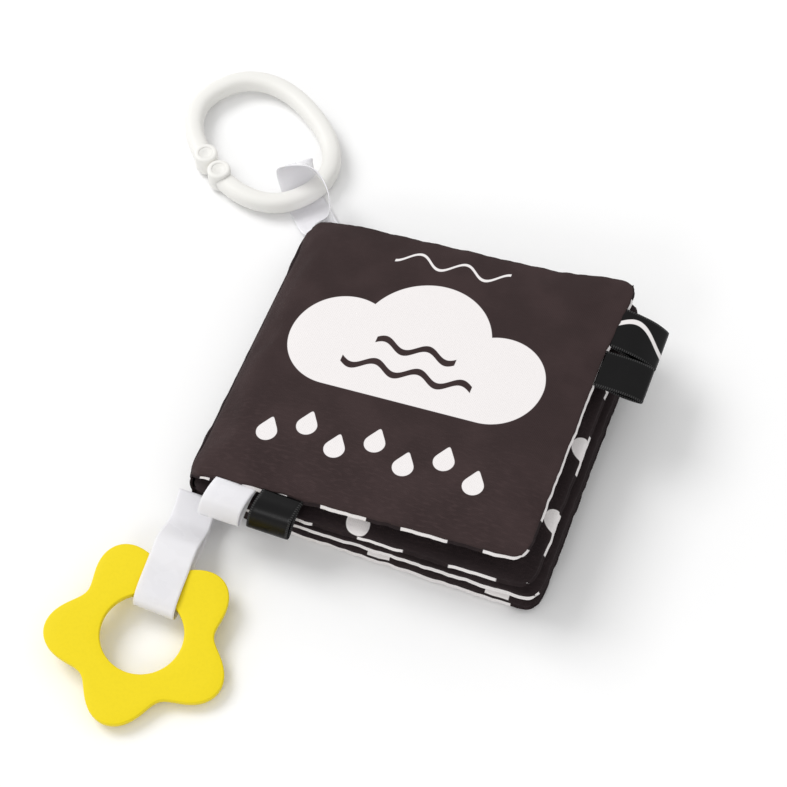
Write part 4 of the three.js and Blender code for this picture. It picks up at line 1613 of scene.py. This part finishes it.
class BOOK_OT_stage(bpy.types.Operator):
    """Sets the floor, the light and the camera"""

    bl_idname = "cloth_book.stage"
    bl_label = "Stage"

    def execute(self, context):
        settings = stage_settings()
        self.lay_floor(settings)
        self.light_room(settings)
        for name in ("key", "front"):
            self.hang_lamp(name, settings)
        self.place_camera()
        context.scene.view_settings.view_transform = "Standard"
        return {"FINISHED"}

    def lay_floor(self, settings):
        half = settings.floor_size / 2
        corners = [(-half, -half, 0), (half, -half, 0), (half, half, 0), (-half, half, 0)]
        made = new_object("floor", corners, [[0, 1, 2, 3]], [material(floor_paint)])

    def light_room(self, settings):
        """Even light from all round, and plain white where the camera looks past the floor."""
        world = bpy.data.worlds.new("studio")
        bpy.context.scene.world = world
        world.use_nodes = True
        tree = Tree(world.node_tree)
        seen = tree.make("ShaderNodeLightPath", output="Is Camera Ray")
        strength = tree.make(
            "ShaderNodeMix", sockets={"Factor": seen, "A": settings.ambient, "B": 1.0}, output="Result")
        light = tree.make("ShaderNodeBackground", sockets={"Strength": strength})
        tree.make("ShaderNodeOutputWorld", sockets={"Surface": light})

    def hang_lamp(self, name, settings):
        """A square lamp that faces the book."""
        lamp = bpy.data.lights.new(name, "AREA")
        lamp.energy = getattr(settings, name + "_power")
        lamp.shape = "SQUARE"
        lamp.size = getattr(settings, name + "_size")
        azimuth = getattr(settings, name + "_azimuth")
        elevation = getattr(settings, name + "_elevation")
        holder = bpy.data.objects.new(name, lamp)
        bpy.context.scene.collection.objects.link(holder)
        away = Vector((
            math.cos(azimuth) * math.cos(elevation),
            math.sin(azimuth) * math.cos(elevation),
            math.sin(elevation),
        ))
        holder.location = away * settings.lamp_distance
        holder.rotation_mode = "QUATERNION"
        holder.rotation_quaternion = away.to_track_quat("Z", "Y")

    def place_camera(self):
        """The photograph's view."""
        cos, sin = math.cos(CAMERA_ELEVATION), math.sin(CAMERA_ELEVATION)
        back = Vector((math.sin(CAMERA_AZIMUTH) * cos, -math.cos(CAMERA_AZIMUTH) * cos, sin))
        right = Vector((math.cos(CAMERA_AZIMUTH), math.sin(CAMERA_AZIMUTH), 0))
        up = back.cross(right)
        roll = Quaternion(back, CAMERA_ROLL)
        turn = Matrix((roll @ right, roll @ up, back)).transposed()
        lens = bpy.data.cameras.new("camera")
        lens.sensor_width = CAMERA_SENSOR
        lens.lens = CAMERA_LENS
        camera = bpy.data.objects.new("camera", lens)
        camera.rotation_mode = "QUATERNION"
        camera.rotation_quaternion = turn.to_quaternion()
        camera.location = CAMERA_TARGET + back * CAMERA_DISTANCE
        bpy.context.scene.collection.objects.link(camera)
        bpy.context.scene.camera = camera


class BOOK_PT_panel(bpy.types.Panel):
    """Lists the book's pieces"""

    bl_idname = "BOOK_PT_panel"
    bl_label = "Cloth book"
    bl_space_type = "VIEW_3D"
    bl_region_type = "UI"
    bl_category = "Cloth book"

    def draw(self, context):
        for operator in OPERATORS:
            self.layout.operator(operator.bl_idname)


OPERATORS = [
    BOOK_OT_leaves, BOOK_OT_spine, BOOK_OT_stitches, BOOK_OT_ring, BOOK_OT_teether, BOOK_OT_ribbons,
    BOOK_OT_tags, BOOK_OT_stage,
]
CLASSES = [BookSettings, StageSettings, *OPERATORS, BOOK_PT_panel]


def register():
    for one in CLASSES:
        bpy.utils.register_class(one)
    bpy.types.Scene.cloth_book = bpy.props.PointerProperty(type=BookSettings)
    bpy.types.Scene.cloth_book_stage = bpy.props.PointerProperty(type=StageSettings)


def unregister():
    del bpy.types.Scene.cloth_book_stage
    del bpy.types.Scene.cloth_book
    for one in reversed(CLASSES):
        bpy.utils.unregister_class(one)


def main():
    register()
    bpy.ops.cloth_book.leaves()
    bpy.ops.cloth_book.spine()
    bpy.ops.cloth_book.stitches()
    bpy.ops.cloth_book.ring()
    bpy.ops.cloth_book.teether()
    bpy.ops.cloth_book.ribbons()
    bpy.ops.cloth_book.tags()
    bpy.ops.cloth_book.stage()


if __name__ == "__main__":
    main()
